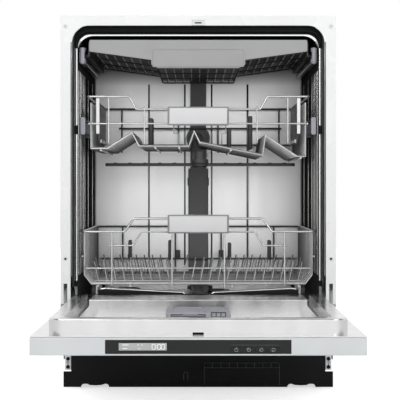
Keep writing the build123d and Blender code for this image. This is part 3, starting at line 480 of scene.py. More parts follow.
GASKET = Moulded((0.010, 0.010, 0.011), (0.007, 0.007, 0.008), 0.38, 0.52, 1200.0, 0.2, shine=0.2)
BLACK = Moulded((0.006, 0.006, 0.0065), (0.004, 0.004, 0.0045), 0.42, 0.55, 1500.0, 0.2, shine=0.15)
DARK_GREY = Moulded((0.060, 0.060, 0.064), (0.045, 0.045, 0.048), 0.38, 0.52, 1100.0, 0.2)
DUCT_GREY = Moulded((0.17, 0.17, 0.175), (0.13, 0.13, 0.135), 0.34, 0.46, 1100.0, 0.15)
# dark tone of the cutlery tray's wires, also laid as the mat of painted shade between them
MAT = Moulded((0.034, 0.034, 0.035), (0.026, 0.026, 0.027), 0.5, 0.6, 1000.0, 0.1)
LAVENDER = Moulded((0.38, 0.38, 0.42), (0.33, 0.33, 0.37), 0.35, 0.48, 1300.0, 0.1)
PALE = Moulded((0.72, 0.72, 0.73), (0.66, 0.66, 0.67), 0.3, 0.42, 1400.0, 0.08)
ENAMEL = Moulded((0.82, 0.825, 0.825), (0.79, 0.795, 0.80), 0.22, 0.32, 600.0, 0.05, coat=0.3)
ZINC = Moulded((0.42, 0.43, 0.44), (0.34, 0.35, 0.36), 0.3, 0.5, 500.0, 0.1, metal=0.9)
SILVER = Moulded((0.62, 0.64, 0.65), (0.58, 0.60, 0.61), 0.3, 0.4, 2000.0, 0.06, metal=0.35)
TRAY = Moulded((0.34, 0.34, 0.345), (0.31, 0.31, 0.315), 0.34, 0.46, 1200.0, 0.08, metal=0.2)
WIRE = Moulded((0.34, 0.34, 0.345), (0.28, 0.28, 0.285), 0.26, 0.38, 900.0, 0.08, metal=0.55)
GLASS = Moulded((0.020, 0.020, 0.020), (0.017, 0.017, 0.017), 0.08, 0.12, 500.0, 0.0, shine=0.2)
BUTTON = Moulded((0.020, 0.020, 0.021), (0.016, 0.016, 0.017), 0.25, 0.32, 1500.0, 0.05, shine=0.2)


def node_finishes() -> dict[str, Finish]:
    """Names the finish of every CAD node.

    Returns:
        Node name to finish.
    """
    rail_cap_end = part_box("upper_rails")[0][1] + RAIL_CAP
    guide_cap_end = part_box("wall_guides")[0][1] + GUIDE_CAP
    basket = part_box("upper_basket_frame")
    finishes: dict[str, Finish] = {
        "tub_floor": Steel(), "door_liner": Steel(), "fine_filter": Steel(rough_low=0.3, rough_high=0.4),
        "hinge_brackets": ZINC, "hinge_arms": ZINC, "door_outer_panel": ENAMEL,
        "latch_catch": PALE, "frame_screws": PALE, "softener_tank": PALE, "drain_pump": PALE,
        "inlet_valve": PALE, "upper_basket_handle": PALE, "lower_basket_handle": PALE,
        "door_seal": GASKET, "control_panel": SILVER, "display_glass": GLASS,
        "cutlery_tray_front": TRAY, "upper_rails": CappedRail(rail_cap_end),
        "wall_guides": CappedRail(guide_cap_end),
    }
    groups = (
        (TubSteel(TUB_WALL), ("tub_wrapper", "tub_back")),
        (ENAMEL, ("left_side_panel", "right_side_panel", "top_crossbars")),
        (BLACK, ("base_tray", "plinth_panel", "service_cover", "drain_spigot", "power_inlet", "door_latch",
                 "foot_front_left", "foot_rear_left", "foot_front_right", "foot_rear_right")),
        (DUCT_GREY, ("water_duct", "upper_arm_feed")),
        (DARK_GREY, ("sump", "coarse_filter", "salt_cap", "circulation_pump", "upper_spray_arm",
                     "lower_spray_arm", "left_cup_shelf", "right_cup_shelf",
                     "lower_wheels_front", "lower_wheels_rear")),
        (LAVENDER, ("dispenser_body", "dispenser_lid", "rinse_aid_cap")),
        (CoatedWire(basket[0][1], basket[1][1]), ("upper_basket_floor", "upper_basket_frame",
                                                  "lower_basket_floor", "lower_basket_frame")),
        (WIRE, ("left_tines", "right_tines")),
        (MAT, ("cutlery_tray_wires",)),
        (BUTTON, ("power_button", "program_button", "option_button", "start_button")),
    )
    for finish, names in groups:
        for name in names:
            finishes[name] = finish
    return finishes


def dress_nodes() -> None:
    """Gives every CAD node its finish."""
    made: dict[Finish, Material] = {}
    for name, finish in node_finishes().items():
        if finish not in made:
            made[finish] = finish.build(f"{name}_finish")
        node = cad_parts[name]
        if not node.material_slots:
            node.data.materials.append(made[finish])
        for place in node.material_slots:
            place.material = made[finish]
        log.info("dressed %s", name)


# --------------------------------------------------------------------------
# Workshop: calls that start, shape and finish a new piece
# --------------------------------------------------------------------------
class Workshop:
    """Starts, shapes and finishes new pieces."""

    @staticmethod
    def choose(piece: Piece) -> None:
        """Selects one object alone and makes it active."""
        bpy.ops.object.select_all(action="DESELECT")
        piece.select_set(True)
        bpy.context.view_layer.objects.active = piece

    @classmethod
    def settle(cls, piece: Piece) -> Piece:
        """Puts a piece's place into its mesh."""
        cls.choose(piece)
        bpy.ops.object.transform_apply(location=True, rotation=True, scale=True)
        return piece

    @classmethod
    def block(cls, name: str, across: Span, deep: Span, tall: Span,
              soft: float = 0.0, steps: int = 2) -> Piece:
        """Makes a block, with rounded edges if asked.

        Args:
            name: the piece's name.
            across: its reach along X.
            deep: its reach along Y.
            tall: its reach along Z.
            soft: width of the rounding, or 0 for sharp edges.
            steps: number of facets across the rounding.

        Returns:
            The block.
        """
        bpy.ops.object.select_all(action="DESELECT")
        reaches = (across, deep, tall)
        bpy.ops.mesh.primitive_cube_add(size=1.0, location=[(low + high) / 2 for low, high in reaches])
        piece = bpy.context.active_object
        piece.name = name
        piece.scale = [high - low for low, high in reaches]
        cls.settle(piece)
        return cls.soften(piece, soft, steps) if soft else piece

    @classmethod
    def disc(cls, name: str, middle: Point, radius: float, depth: float, sides: int = 24) -> Piece:
        """Starts a short round bar that faces the front.

        Args:
            name: the piece's name.
            middle: its centre.
            radius: its radius.
            depth: its length along Y.
            sides: number of sides.

        Returns:
            The bar.
        """
        bpy.ops.object.select_all(action="DESELECT")
        bpy.ops.mesh.primitive_cylinder_add(vertices=sides, radius=radius, depth=depth, location=middle,
                                            rotation=(math.radians(90), 0, 0))
        piece = bpy.context.active_object
        piece.name = name
        return cls.settle(piece)

    @classmethod
    def wire(cls, name: str, points: list[Point], radius: float, loop: bool = False) -> Piece:
        """Makes a round wire through the points.

        Args:
            name: the piece's name.
            points: the wire's corners.
            radius: the wire's radius.
            loop: whether the wire closes on itself.

        Returns:
            The wire as a mesh.
        """
        line = bpy.data.curves.new(name, "CURVE")
        line.dimensions = "3D"
        line.bevel_depth = radius
        line.bevel_resolution = 2
        line.use_fill_caps = True
        spline = line.splines.new("POLY")
        spline.points.add(len(points) - 1)
        for place, point in zip(spline.points, points):
            place.co = (*point, 1.0)
        spline.use_cyclic_u = loop
        piece = bpy.data.objects.new(name, line)
        bpy.context.scene.collection.objects.link(piece)
        cls.choose(piece)
        bpy.ops.object.convert(target="MESH")
        return bpy.context.active_object

    @classmethod
    def soften(cls, piece: Piece, width: float, steps: int) -> Piece:
        """Rounds a piece's sharp edges.

        Args:
            piece: the piece.
            width: width of the rounding.
            steps: number of facets across it.

        Returns:
            The same piece.
        """
        cls.choose(piece)
        rounding = piece.modifiers.new("rounding", "BEVEL")
        rounding.width = width
        rounding.segments = steps
        rounding.limit_method = "ANGLE"
        bpy.ops.object.modifier_apply(modifier=rounding.name)
        return piece

    @classmethod
    def press(cls, piece: Piece, way: Point, border: float, depth: float) -> Piece:
        """Insets the faces that look one way and sinks or raises the middle.

        Args:
            piece: the piece.
            way: direction that the chosen faces look.
            border: width of the border left around them.
            depth: how far the middle rises; negative sinks it.

        Returns:
            The same piece.
        """
        cls.choose(piece)
        bpy.ops.object.mode_set(mode="EDIT")
        bpy.ops.mesh.select_mode(type="FACE")
        bpy.ops.mesh.select_all(action="DESELECT")
        bpy.ops.object.mode_set(mode="OBJECT")
        for face in piece.data.polygons:
            face.select = face.normal.dot(Vector(way)) > FACING
        bpy.ops.object.mode_set(mode="EDIT")
        bpy.ops.mesh.inset(thickness=border, depth=0.0)
        bpy.ops.mesh.inset(thickness=min(border, abs(depth)) * 0.3, depth=depth)
        bpy.ops.object.mode_set(mode="OBJECT")
        return piece

    @staticmethod
    def twin(piece: Piece, name: str, shift: Point = (0, 0, 0), flip: bool = False) -> Piece:
        """Copies a piece with its own mesh, moved or mirrored across the middle.

        Args:
            piece: the piece to copy.
            name: the copy's name.
            shift: how far the copy moves.
            flip: whether the copy is mirrored left to right.

        Returns:
            The copy.
        """
        copy = piece.copy()
        copy.data = piece.data.copy()
        copy.name = name
        bpy.context.scene.collection.objects.link(copy)
        if flip:
            copy.data.transform(Matrix.Scale(-1, 4, (1, 0, 0)))
            copy.data.flip_normals()
        copy.data.transform(Matrix.Translation(shift))
        return copy

    @classmethod
    def join(cls, parts: list[Piece], name: str) -> Piece:
        """Joins parts into one piece.

        Args:
            parts: the parts.
            name: the joined piece's name.

        Returns:
            The joined piece.
        """
        cls.choose(parts[0])
        for part in parts:
            part.select_set(True)
        bpy.ops.object.join()
        parts[0].name = name
        return parts[0]

    @classmethod
    def fit(cls, piece: Piece, body: str, finish: Material, slot: Slot) -> None:
        """Dresses a finished piece and lets it ride on a body.

        Args:
            piece: the piece.
            body: the body that it moves with.
            finish: its material.
            slot: not used.
        """
        cls.settle(piece)
        bpy.ops.object.shade_smooth_by_angle(angle=SMOOTH_ANGLE)
        piece.data.materials.clear()
        piece.data.materials.append(finish)
        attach(piece, body)
        log.info("fitted %s", piece.name)

    @classmethod
    def fit_pair(cls, piece: Piece, body: str, finish: Material, slot: Slot) -> None:
        """Fits a right-hand piece and its mirrored left-hand twin.

        Args:
            piece: the right-hand piece.
            body: the body that both move with.
            finish: their material.
            slot: passed on to fit, which does not use it.
        """
        other = cls.twin(piece, piece.name.replace("right", "left"), flip=True)
        cls.fit(piece, body, finish, slot)
        cls.fit(other, body, finish, slot)


def arc(radius: float, start: float, end: float, steps: int) -> list[Span]:
    """Finds points along an arc around the origin.

    Args:
        radius: the arc's radius.
        start: angle of its first point in degrees.
        end: angle of its last point in degrees.
        steps: number of steps between them.

    Returns:
        The points, each as two coordinates.
    """
    angles = [math.radians(start + (end - start) * step / steps) for step in range(steps + 1)]
    return [(radius * math.cos(angle), radius * math.sin(angle)) for angle in angles]


def shifted(span: Span, by: float) -> Span:
    """Moves a reach along its axis."""
    return span[0] + by, span[1] + by


class Finishes:
    """The finishes that new pieces share, each built once."""

    def __init__(self) -> None:
        """Builds every shared finish."""
        self.pale = PALE.build("pale_moulding")
        self.rim = Moulded((0.30, 0.30, 0.31), (0.26, 0.26, 0.27), 0.3, 0.4).build("handle_rim_grey")
        self.wire = WIRE.build("bright_wire")
        self.dark = DARK_GREY.build("dark_moulding")
        self.black = BLACK.build("black_moulding")
        self.lavender = LAVENDER.build("lavender_moulding")
        self.white = ENAMEL.build("white_enamel")
        self.line = Moulded((0.10, 0.10, 0.10), (0.07, 0.07, 0.07), 0.4, 0.5).build("panel_print_grey")
        self.screen = Moulded((0.42, 0.43, 0.43), (0.40, 0.41, 0.41), 0.25, 0.3).build("display_grey")
        self.glow = Moulded((0.95, 0.95, 0.95), (0.9, 0.9, 0.9), 0.4, 0.5).build("display_white")
        self.groove = Steel((0.16, 0.16, 0.16), (0.10, 0.10, 0.10)).build("groove_shade_steel")
        self.bright = Steel((0.95, 0.95, 0.95), (0.85, 0.85, 0.85), 0.22, 0.3).build("bright_bead_steel")
        # the tray's mat: a dark sheet of painted shade between the tray's wires
        self.mat = MAT.build("tray_shade_mat_grey")
        self.tray = TRAY.build("tray_moulding")


FORWARD = (0, -1, 0)
UPWARD = (0, 0, 1)
SIDEWAYS = (1, 0, 0)
SUNK = 0.1 * MM


# --------------------------------------------------------------------------
# Sub-assemblies
# --------------------------------------------------------------------------
@dataclass
class Assembly:
    """What every sub-assembly starts from: the shared finishes and Y of the cabinet's front face."""

    finishes: Finishes
    front: float


@dataclass
class Tub(Assembly):
    """Pressed beads and ribs of the tub's walls, and the trim around its mouth."""

    bead_places: tuple[float, ...] = mm(-125, -34, 34, 125)
    bead_half: float = 2.1 * MM
    bead_rise: float = 1.2 * MM
    bead_heights: Span = mm(246, 704)
    bead_soft: float = 0.9 * MM
    rib_depths: tuple[float, ...] = mm(48, 86, 125, 165, 205, 300, 430)
    rib_half: float = 2.5 * MM
    rib_rise: float = 1.5 * MM
    rib_heights: Span = mm(250, 700)
    rib_soft: float = 1.3 * MM
    lip_reach: float = 267.6 * MM
    lip_top: float = 781.6 * MM
    lip_corner: float = 30.6 * MM
    lip_depth: float = 33.2 * MM
    lip_radius: float = 2.9 * MM
    strip_reach: Span = mm(264.6, 269.2)
    strip_depths: Span = mm(29.5, 31.9)
    strip_heights: Span = mm(238, 748)
    strip_soft: float = 1.1 * MM
    clip_reach: Span = mm(264.4, 272.6)
    clip_depths: Span = mm(29.3, 32.1)
    clip_heights: Span = mm(559, 579)
    clip_soft: float = 0.8 * MM

    def build(self) -> None:
        """Builds the beads and ribs of the walls, then the trim of the mouth."""
        self.back_beads()
        self.side_ribs()
        self.seal_lip()
        self.seal_sides()

    def back_beads(self) -> None:
        """Presses the upright beads of the back wall."""
        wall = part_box("tub_back")[0][1]
        for index, x in enumerate(self.bead_places):
            bead = Workshop.block(f"back_wall_bead_{index + 1}", (x - self.bead_half, x + self.bead_half),
                                  (wall - self.bead_rise, wall + SUNK), self.bead_heights,
                                  self.bead_soft, 3)
            Workshop.fit(bead, "cabinet", self.finishes.groove, Slot.STAINLESS)

    def side_ribs(self) -> None:
        """Presses the upright ribs of both side walls."""
        ribs = []
        for depth in self.rib_depths:
            middle = self.front + depth
            ribs.append(Workshop.block("rib", (TUB_WALL - self.rib_rise, TUB_WALL + SUNK),
                                       (middle - self.rib_half, middle + self.rib_half),
                                       self.rib_heights, self.rib_soft, 3))
        Workshop.fit_pair(Workshop.join(ribs, "right_wall_ribs"), "cabinet",
                          self.finishes.bright, Slot.STAINLESS)

    def seal_lip(self) -> None:
        """Closes the gap behind the seal with a soft lip around the tub's mouth."""
        y = self.front + self.lip_depth
        bend = [(self.lip_reach - self.lip_corner + x, self.lip_top - self.lip_corner + z)
                for x, z in arc(self.lip_corner, 0, 90, 8)]
        path = [(self.lip_reach, self.rib_heights[0]), *bend]
        points = [(x, y, z) for x, z in path] + [(-x, y, z) for x, z in reversed(path)]
        lip = Workshop.wire("seal_back_lip", points, self.lip_radius)
        Workshop.fit(lip, "cabinet", self.finishes.black, Slot.RUBBER)

    def seal_sides(self) -> None:
        """Runs the bright bead and its clip down both sides, inside the seal."""
        for name, reach, depths, heights, soft, steps, finish, slot in (
                ("right_seal_bead", self.strip_reach, self.strip_depths, self.strip_heights,
                 self.strip_soft, 4, self.finishes.bright, Slot.STAINLESS),
                ("right_seal_clip", self.clip_reach, self.clip_depths, self.clip_heights,
                 self.clip_soft, 2, self.finishes.black, Slot.RUBBER)):
            deep = (self.front + depths[0], self.front + depths[1])
            piece = Workshop.block(name, reach, deep, heights, soft, steps)
            Workshop.fit_pair(piece, "cabinet", finish, slot)


@dataclass
class BasketHandle(Assembly):
    """Framed grip plate on a basket's front."""

    node: str
    body: str
    overhang: float = 1.5 * MM
    rise: float = 1.2 * MM
    backing: float = 2 * MM
    frame_soft: float = 2.2 * MM
    groove: Span = mm(0.6, -0.5)
    side_border: float = 2.4 * MM
    end_border: float = 2.8 * MM
    plate_rise: float = 2.64 * MM
    plate_soft: float = 2.4 * MM

    def build(self) -> None:
        """Builds the frame and the plate inside it."""
        low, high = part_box(self.node)
        face = low[1]
        rim = Workshop.block(f"{self.body}_grip_frame", (low[0] - self.overhang, high[0] + self.overhang),
                             (face - self.rise, face + self.backing), (low[2], high[2]),
                             self.frame_soft, 3)
        Workshop.press(rim, FORWARD, *self.groove)
        Workshop.fit(rim, self.body, self.finishes.rim, Slot.PALE)
        plate = Workshop.block(f"{self.body}_grip_plate",
                               (low[0] + self.side_border, high[0] - self.side_border),
                               (face - self.plate_rise, face),
                               (low[2] + self.end_border, high[2] - self.end_border), self.plate_soft, 4)
        Workshop.fit(plate, self.body, self.finishes.pale, Slot.PALE)


@dataclass
class UpperBasket(Assembly):
    """Close ribs, handle, hooks, blades and cup rests of the upper basket."""

    extra_ribs: int = 30
    rib_radius: float = 1.1 * MM
    rib_margin: float = 6 * MM
    profile: tuple[Span, ...] = (
        (-237, 531), (-202, 531), (-147, 566), (-131, 536.5), (-21, 536), (-9, 570), (3, 545),
        (143, 516), (149, 560), (219, 513.6), (237, 513.6))
    hooks: tuple[Span, ...] = ((-53.8, -43.7), (61.0, 52.0))
    hook_heights: tuple[float, float, float] = mm(582, 562.5, 538)
    hook_radius: float = 1.5 * MM
    blades: tuple[tuple[float, float, float, float], ...] = (
        (-110, 150, 541, 604), (72, 150, 536, 580), (122, 170, 532, 610))
    blade_half: float = 5
    blade_length: float = 60
    rod_radius: float = 1.6 * MM
    rod_margin: float = 4 * MM
    rod_inset: float = 1.2 * MM
    rod_lift: float = 3 * MM
    clip_places: tuple[float, ...] = mm(12, 96, 180)
    clip_half: Span = mm(2.4, 4)
    clip_heights: Span = mm(-3, 5)
    clip_soft: float = 1.2 * MM

    def build(self) -> None:
        """Builds every piece of the basket."""
        BasketHandle(self.finishes, self.front, "upper_basket_handle", "upper_basket").build()
        self.ribs()
        self.hook_wires()
        self.cup_blades()
        self.shelf_edges()

    def ribs(self) -> None:
        """Lays thin ribs between the main ones."""
        low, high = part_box("upper_basket_floor")
        start, end = low[1] + self.rib_margin, high[1] - self.rib_margin
        first = Workshop.wire("rib", [(x * MM, start, z * MM) for x, z in self.profile], self.rib_radius)
        step = (end - start) / self.extra_ribs
        row = [first] + [Workshop.twin(first, "rib", (0, index * step, 0))
                         for index in range(1, self.extra_ribs + 1)]
        ribs = Workshop.join(row, "upper_basket_fine_ribs")
        Workshop.fit(ribs, "upper_basket", self.finishes.wire, Slot.WIRE)

    def hook_wires(self) -> None:
        """Bends the two small hooks under the handle."""
        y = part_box("upper_basket_handle")[1][1] - 1 * MM
        top, bend, foot = self.hook_heights
        for side, (outer, inner) in zip(("left", "right"), self.hooks):
            points = [(x * MM, y, z) for x, z in ((outer, top), (outer, bend), (inner, bend), (inner, foot))]
            hook = Workshop.wire(f"upper_basket_{side}_hook", points, self.hook_radius)
            Workshop.fit(hook, "upper_basket", self.finishes.wire, Slot.WIRE)

    def cup_blades(self) -> None:
        """Stands the dark blades that keep cups apart."""
        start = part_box("upper_basket_floor")[0][1]
        for index, (x, depth, low, high) in enumerate(self.blades):
            blade = Workshop.block(f"upper_basket_blade_{index + 1}",
                                   ((x - self.blade_half) * MM, (x + self.blade_half) * MM),
                                   (start + depth * MM, start + (depth + self.blade_length) * MM),
                                   (low * MM, high * MM), 3 * MM, 3)
            Workshop.press(blade, SIDEWAYS, 6 * MM, -2 * MM)
            Workshop.fit(blade, "upper_basket", self.finishes.dark, Slot.DARK_GREY)

    def shelf_edges(self) -> None:
        """Adds the bright edge rod and the clips of each cup shelf."""
        wide, long = self.clip_half
        for side, sign in (("left", -1), ("right", 1)):
            low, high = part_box(f"{side}_cup_shelf")
            x = sign * (min(abs(low[0]), abs(high[0])) - self.rod_inset)
            z = low[2] + self.rod_lift
            parts = [Workshop.wire("rod", [(x, low[1] + self.rod_margin, z),
                                           (x, high[1] - self.rod_margin, z)], self.rod_radius)]
            for place in self.clip_places:
                y = low[1] + place
                parts.append(Workshop.block("clip", (x - wide, x + wide), (y - long, y + long),
                                            (z + self.clip_heights[0], z + self.clip_heights[1]),
                                            self.clip_soft))
            Workshop.fit(Workshop.join(parts, f"{side}_cup_shelf_edge"), f"{side}_cup_shelf",
                         self.finishes.pale, Slot.PALE)


@dataclass
class LowerBasket(Assembly):
    """Handle, plate holders and tine stops of the lower basket."""

    holders: tuple[tuple[float, float, float], ...] = (
        (-161, 276, 318), (-67, 272, 318), (74, 272, 312), (168, 272, 318))
    holder_half: float = 4
    holder_depths: Span = mm(190, 226)
    stops: tuple[float, ...] = (-51, 57)
    stop_half: float = 6
    stop_depths: Span = mm(-30, -18)
    stop_heights: Span = mm(262, 286)

    def build(self) -> None:
        """Builds every piece of the basket."""
        BasketHandle(self.finishes, self.front, "lower_basket_handle", "lower_basket").build()
        start, end = (corner[1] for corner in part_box("lower_basket_floor"))
        for index, (x, low, high) in enumerate(self.holders):
            piece = Workshop.block(f"plate_holder_{index + 1}",
                                   ((x - self.holder_half) * MM, (x + self.holder_half) * MM),
                                   (start + self.holder_depths[0], start + self.holder_depths[1]),
                                   (low * MM, high * MM), 2.6 * MM, 3)
            Workshop.press(piece, FORWARD, 1.5 * MM, -1 * MM)
            Workshop.fit(piece, "lower_basket", self.finishes.dark, Slot.DARK_GREY)
        for index, x in enumerate(self.stops):
            piece = Workshop.block(f"tine_stop_{index + 1}",
                                   ((x - self.stop_half) * MM, (x + self.stop_half) * MM),
                                   (end + self.stop_depths[0], end + self.stop_depths[1]),
                                   self.stop_heights, 2 * MM)
            Workshop.press(piece, FORWARD, 2 * MM, -1.5 * MM)
            Workshop.fit(piece, "lower_basket", self.finishes.dark, Slot.DARK_GREY)


@dataclass
class CutleryTray(Assembly):
    """Dark mat that stands as painted shade, bright wires, pressed front panel and end caps of the cutlery
    tray.
    """

    mat_columns: tuple[float, ...] = (-236, -93, -90, 90, 93, 236)
    mat_margin: float = 4 * MM
    mat_lift: float = 2.2 * MM
    mat_thick: float = 1.0 * MM
    well_half: float = 92
    shelf_start: float = 93
    well_z: float = 709.6
    shelf_z: float = 726.0
    shelf_slope: float = 0.137
    wire_pitch: float = 19.3 * MM
    wire_count: int = 25
    wire_shift: float = 3.4 * MM
    wire_drop: float = 0.4 * MM
    wire_margin: float = 2 * MM
    wire_radius: float = 0.9 * MM
    panel_half: float = 100 * MM
    panel_rise: float = 1.1 * MM
    panel_heights: Span = mm(706.5, 744.5)
    cap_reach: Span = mm(249.6, 259.4)
    cap_depths: Span = mm(6, 14)
    cap_heights: Span = mm(714, 750.5)
    cap_soft: float = 3.2 * MM

    def floor_height(self, x: float) -> float:
        """Finds the height of the tray's wire floor.

        Args:
            x: distance from the middle in metres.

        Returns:
            The height in metres.
        """
        reach = abs(x) / MM
        raised = self.shelf_z + self.shelf_slope * (reach - self.shelf_start)
        return (self.well_z if reach < self.well_half else raised) * MM

    def build(self) -> None:
        """Builds every piece of the tray."""
        self.mat()
        self.bright_wires()
        self.panel()
        self.caps()

    def mat(self) -> None:
        """Lays the dark mat that follows the wire floor, as painted shade of the tub ceiling seen between
        the wires.
        """
        low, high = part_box("cutlery_tray_wires")
        bpy.ops.object.select_all(action="DESELECT")
        bpy.ops.mesh.primitive_grid_add(x_subdivisions=len(self.mat_columns) - 1, y_subdivisions=1, size=1.0)
        mat = bpy.context.active_object
        mat.name = "cutlery_tray_shade_mat"
        columns = sorted({round(vertex.co.x, 4) for vertex in mat.data.vertices})
        for vertex in mat.data.vertices:
            x = self.mat_columns[columns.index(round(vertex.co.x, 4))] * MM
            y = low[1] + self.mat_margin if vertex.co.y < 0 else high[1] - self.mat_margin
            vertex.co = (x, y, self.floor_height(x) + self.mat_lift)
        thick = mat.modifiers.new("thickness", "SOLIDIFY")
        thick.thickness = self.mat_thick
        thick.offset = 1.0
        Workshop.choose(mat)
        bpy.ops.object.modifier_apply(modifier=thick.name)
        Workshop.fit(mat, "cutlery_tray", self.finishes.mat, Slot.TRAY)

    def bright_wires(self) -> None:
        """Adds the thin bright wires under the mat."""
        low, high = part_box("cutlery_tray_wires")
        wires = []
        for index in range(self.wire_count):
            x = (index - (self.wire_count - 1) / 2) * self.wire_pitch + self.wire_shift
            z = self.floor_height(x) - self.wire_drop
            wires.append(Workshop.wire("line", [(x, low[1] + self.wire_margin, z),
                                                (x, high[1] - self.wire_margin, z)], self.wire_radius))
        Workshop.fit(Workshop.join(wires, "cutlery_tray_lines"), "cutlery_tray",
                     self.finishes.pale, Slot.WIRE)

    def panel(self) -> None:
        """Presses the raised panel on the tray's front."""
        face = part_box("cutlery_tray_front")[0][1]
        panel = Workshop.block("cutlery_tray_panel", (-self.panel_half, self.panel_half),
                               (face - self.panel_rise, face + 1 * MM), self.panel_heights, 1.0 * MM, 3)
        Workshop.press(panel, FORWARD, 1.2 * MM, -0.4 * MM)
        Workshop.fit(panel, "cutlery_tray", self.finishes.tray, Slot.TRAY)

    def caps(self) -> None:
        """Closes the front ends of the tray's runners."""
        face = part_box("cutlery_tray_front")[0][1]
        cap = Workshop.block("right_tray_cap", self.cap_reach,
                             (face + self.cap_depths[0], face + self.cap_depths[1]),
                             self.cap_heights, self.cap_soft, 4)
        Workshop.fit_pair(cap, "cutlery_tray", self.finishes.lavender, Slot.LAVENDER)


@dataclass
class ControlPanel(Assembly):
    """Display, its digits, and the marks over the buttons."""

    screen_x: Span = mm(-140, -55.5)
    screen_z: Span = mm(155.9, 168.9)
    screen_rise: float = 0.25 * MM
    digit_size: Span = mm(5.6, 8.6)
    digit_places: tuple[float, ...] = mm(-78.5, -69.0, -62.0)
    digit_gap: Span = mm(0.9, 0.5)
    bar: float = 1.15 * MM
    bar_rise: float = 0.2 * MM
    colon_half: float = 2 * MM
    dashes: tuple[tuple[float, float, float], ...] = (
        (-128, 165.6, 11), (-129, 159.2, 8), (-106, 165.6, 3), (-99, 165.6, 2.4), (-104, 159.2, 2.4))
    dash_height: float = 1.3 * MM
    rule_lift: float = 3.4 * MM
    rule_width: float = 0.45 * MM
    rule_rise: float = 0.12 * MM
    tick_offset: float = 1.2 * MM
    tick_length: float = 2.4 * MM
    mark_turns: tuple[tuple[str, float], ...] = (
        ("power_button", 0), ("program_button", 45), ("option_button", 90), ("start_button", 135))
    mark_rise: float = 0.15 * MM
    ring_radius: float = 3 * MM
    ring_wire: float = 0.26 * MM
    stroke_reach: float = 3.9 * MM
    stroke_wire: float = 0.28 * MM

    def build(self) -> None:
        """Builds the display and the marks."""
        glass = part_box("display_glass")[0][1]
        screen = Workshop.block("display_screen", self.screen_x,
                                (glass - self.screen_rise, glass + 0.3 * MM), self.screen_z, 0.2 * MM)
        Workshop.fit(screen, "door", self.finishes.screen, Slot.GLASS)
        self.digits(glass - self.screen_rise)
        self.divider(glass)
        for name, turn in self.mark_turns:
            self.mark(name, math.radians(turn + 90))

    def digits(self, face: float) -> None:
        """Draws 0:00 and a few plain dashes on the display.

        Args:
            face: Y of the screen's face.
        """
        wide, high = self.digit_size
        middle = sum(self.screen_z) / 2
        bars = []
        for place in self.digit_places:
            for x in (place - wide / 2, place + wide / 2):
                for z in (middle - high / 4, middle + high / 4):
                    bars.append((x, z, self.bar, high / 2 - self.digit_gap[1]))
            for z in (middle - high / 2, middle + high / 2):
                bars.append((place, z, wide - self.digit_gap[0], self.bar))
        colon = (self.digit_places[0] + self.digit_places[1]) / 2
        for z in (middle - self.colon_half, middle + self.colon_half):
            bars.append((colon, z, self.bar, self.bar))
        for x, z, length in self.dashes:
            bars.append((x * MM, z * MM, length * MM, self.dash_height))
        deep = (face - self.bar_rise, face + SUNK)
        parts = [Workshop.block("bar", (x - w / 2, x + w / 2), deep, (z - h / 2, z + h / 2), 0.08 * MM, 1)
                 for x, z, w, h in bars]
        Workshop.fit(Workshop.join(parts, "display_digits"), "door", self.finishes.glow, Slot.GLASS)

    def divider(self, glass: float) -> None:
        """Draws the divider over the buttons.

        Args:
            glass: Y of the glass.
        """
        boxes = [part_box(name) for name, _ in self.mark_turns]
        foot = boxes[0][1][2] + self.rule_lift
        top = foot + self.rule_width
        deep = (glass - self.rule_rise, glass + SUNK)
        parts = [Workshop.block("rule", (boxes[0][0][0], boxes[-1][1][0]), deep, (foot, top))]
        for low, _ in boxes[1:]:
            x = low[0] - self.tick_offset
            parts.append(Workshop.block("tick", (x, x + self.rule_width), deep,
                                        (foot - self.tick_length, top)))
        Workshop.fit(Workshop.join(parts, "button_divider"), "door", self.finishes.line, Slot.GLASS)

    def mark(self, name: str, way: float) -> None:
        """Draws one button's ring and stroke.

        Args:
            name: the button's node and body.
            way: direction of the stroke in radians.
        """
        low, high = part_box(name)
        x, y, z = (low[0] + high[0]) / 2, low[1] - self.mark_rise, (low[2] + high[2]) / 2
        ring = Workshop.wire("ring", [(x + across, y, z + tall)
                                      for across, tall in arc(self.ring_radius, 0, 342, 19)],
                             self.ring_wire, loop=True)
        end = (x + self.stroke_reach * math.cos(way), y, z + self.stroke_reach * math.sin(way))
        stroke = Workshop.wire("stroke", [(x, y, z), end], self.stroke_wire)
        Workshop.fit(Workshop.join([ring, stroke], f"{name}_mark"), name, self.finishes.screen, Slot.GLASS)


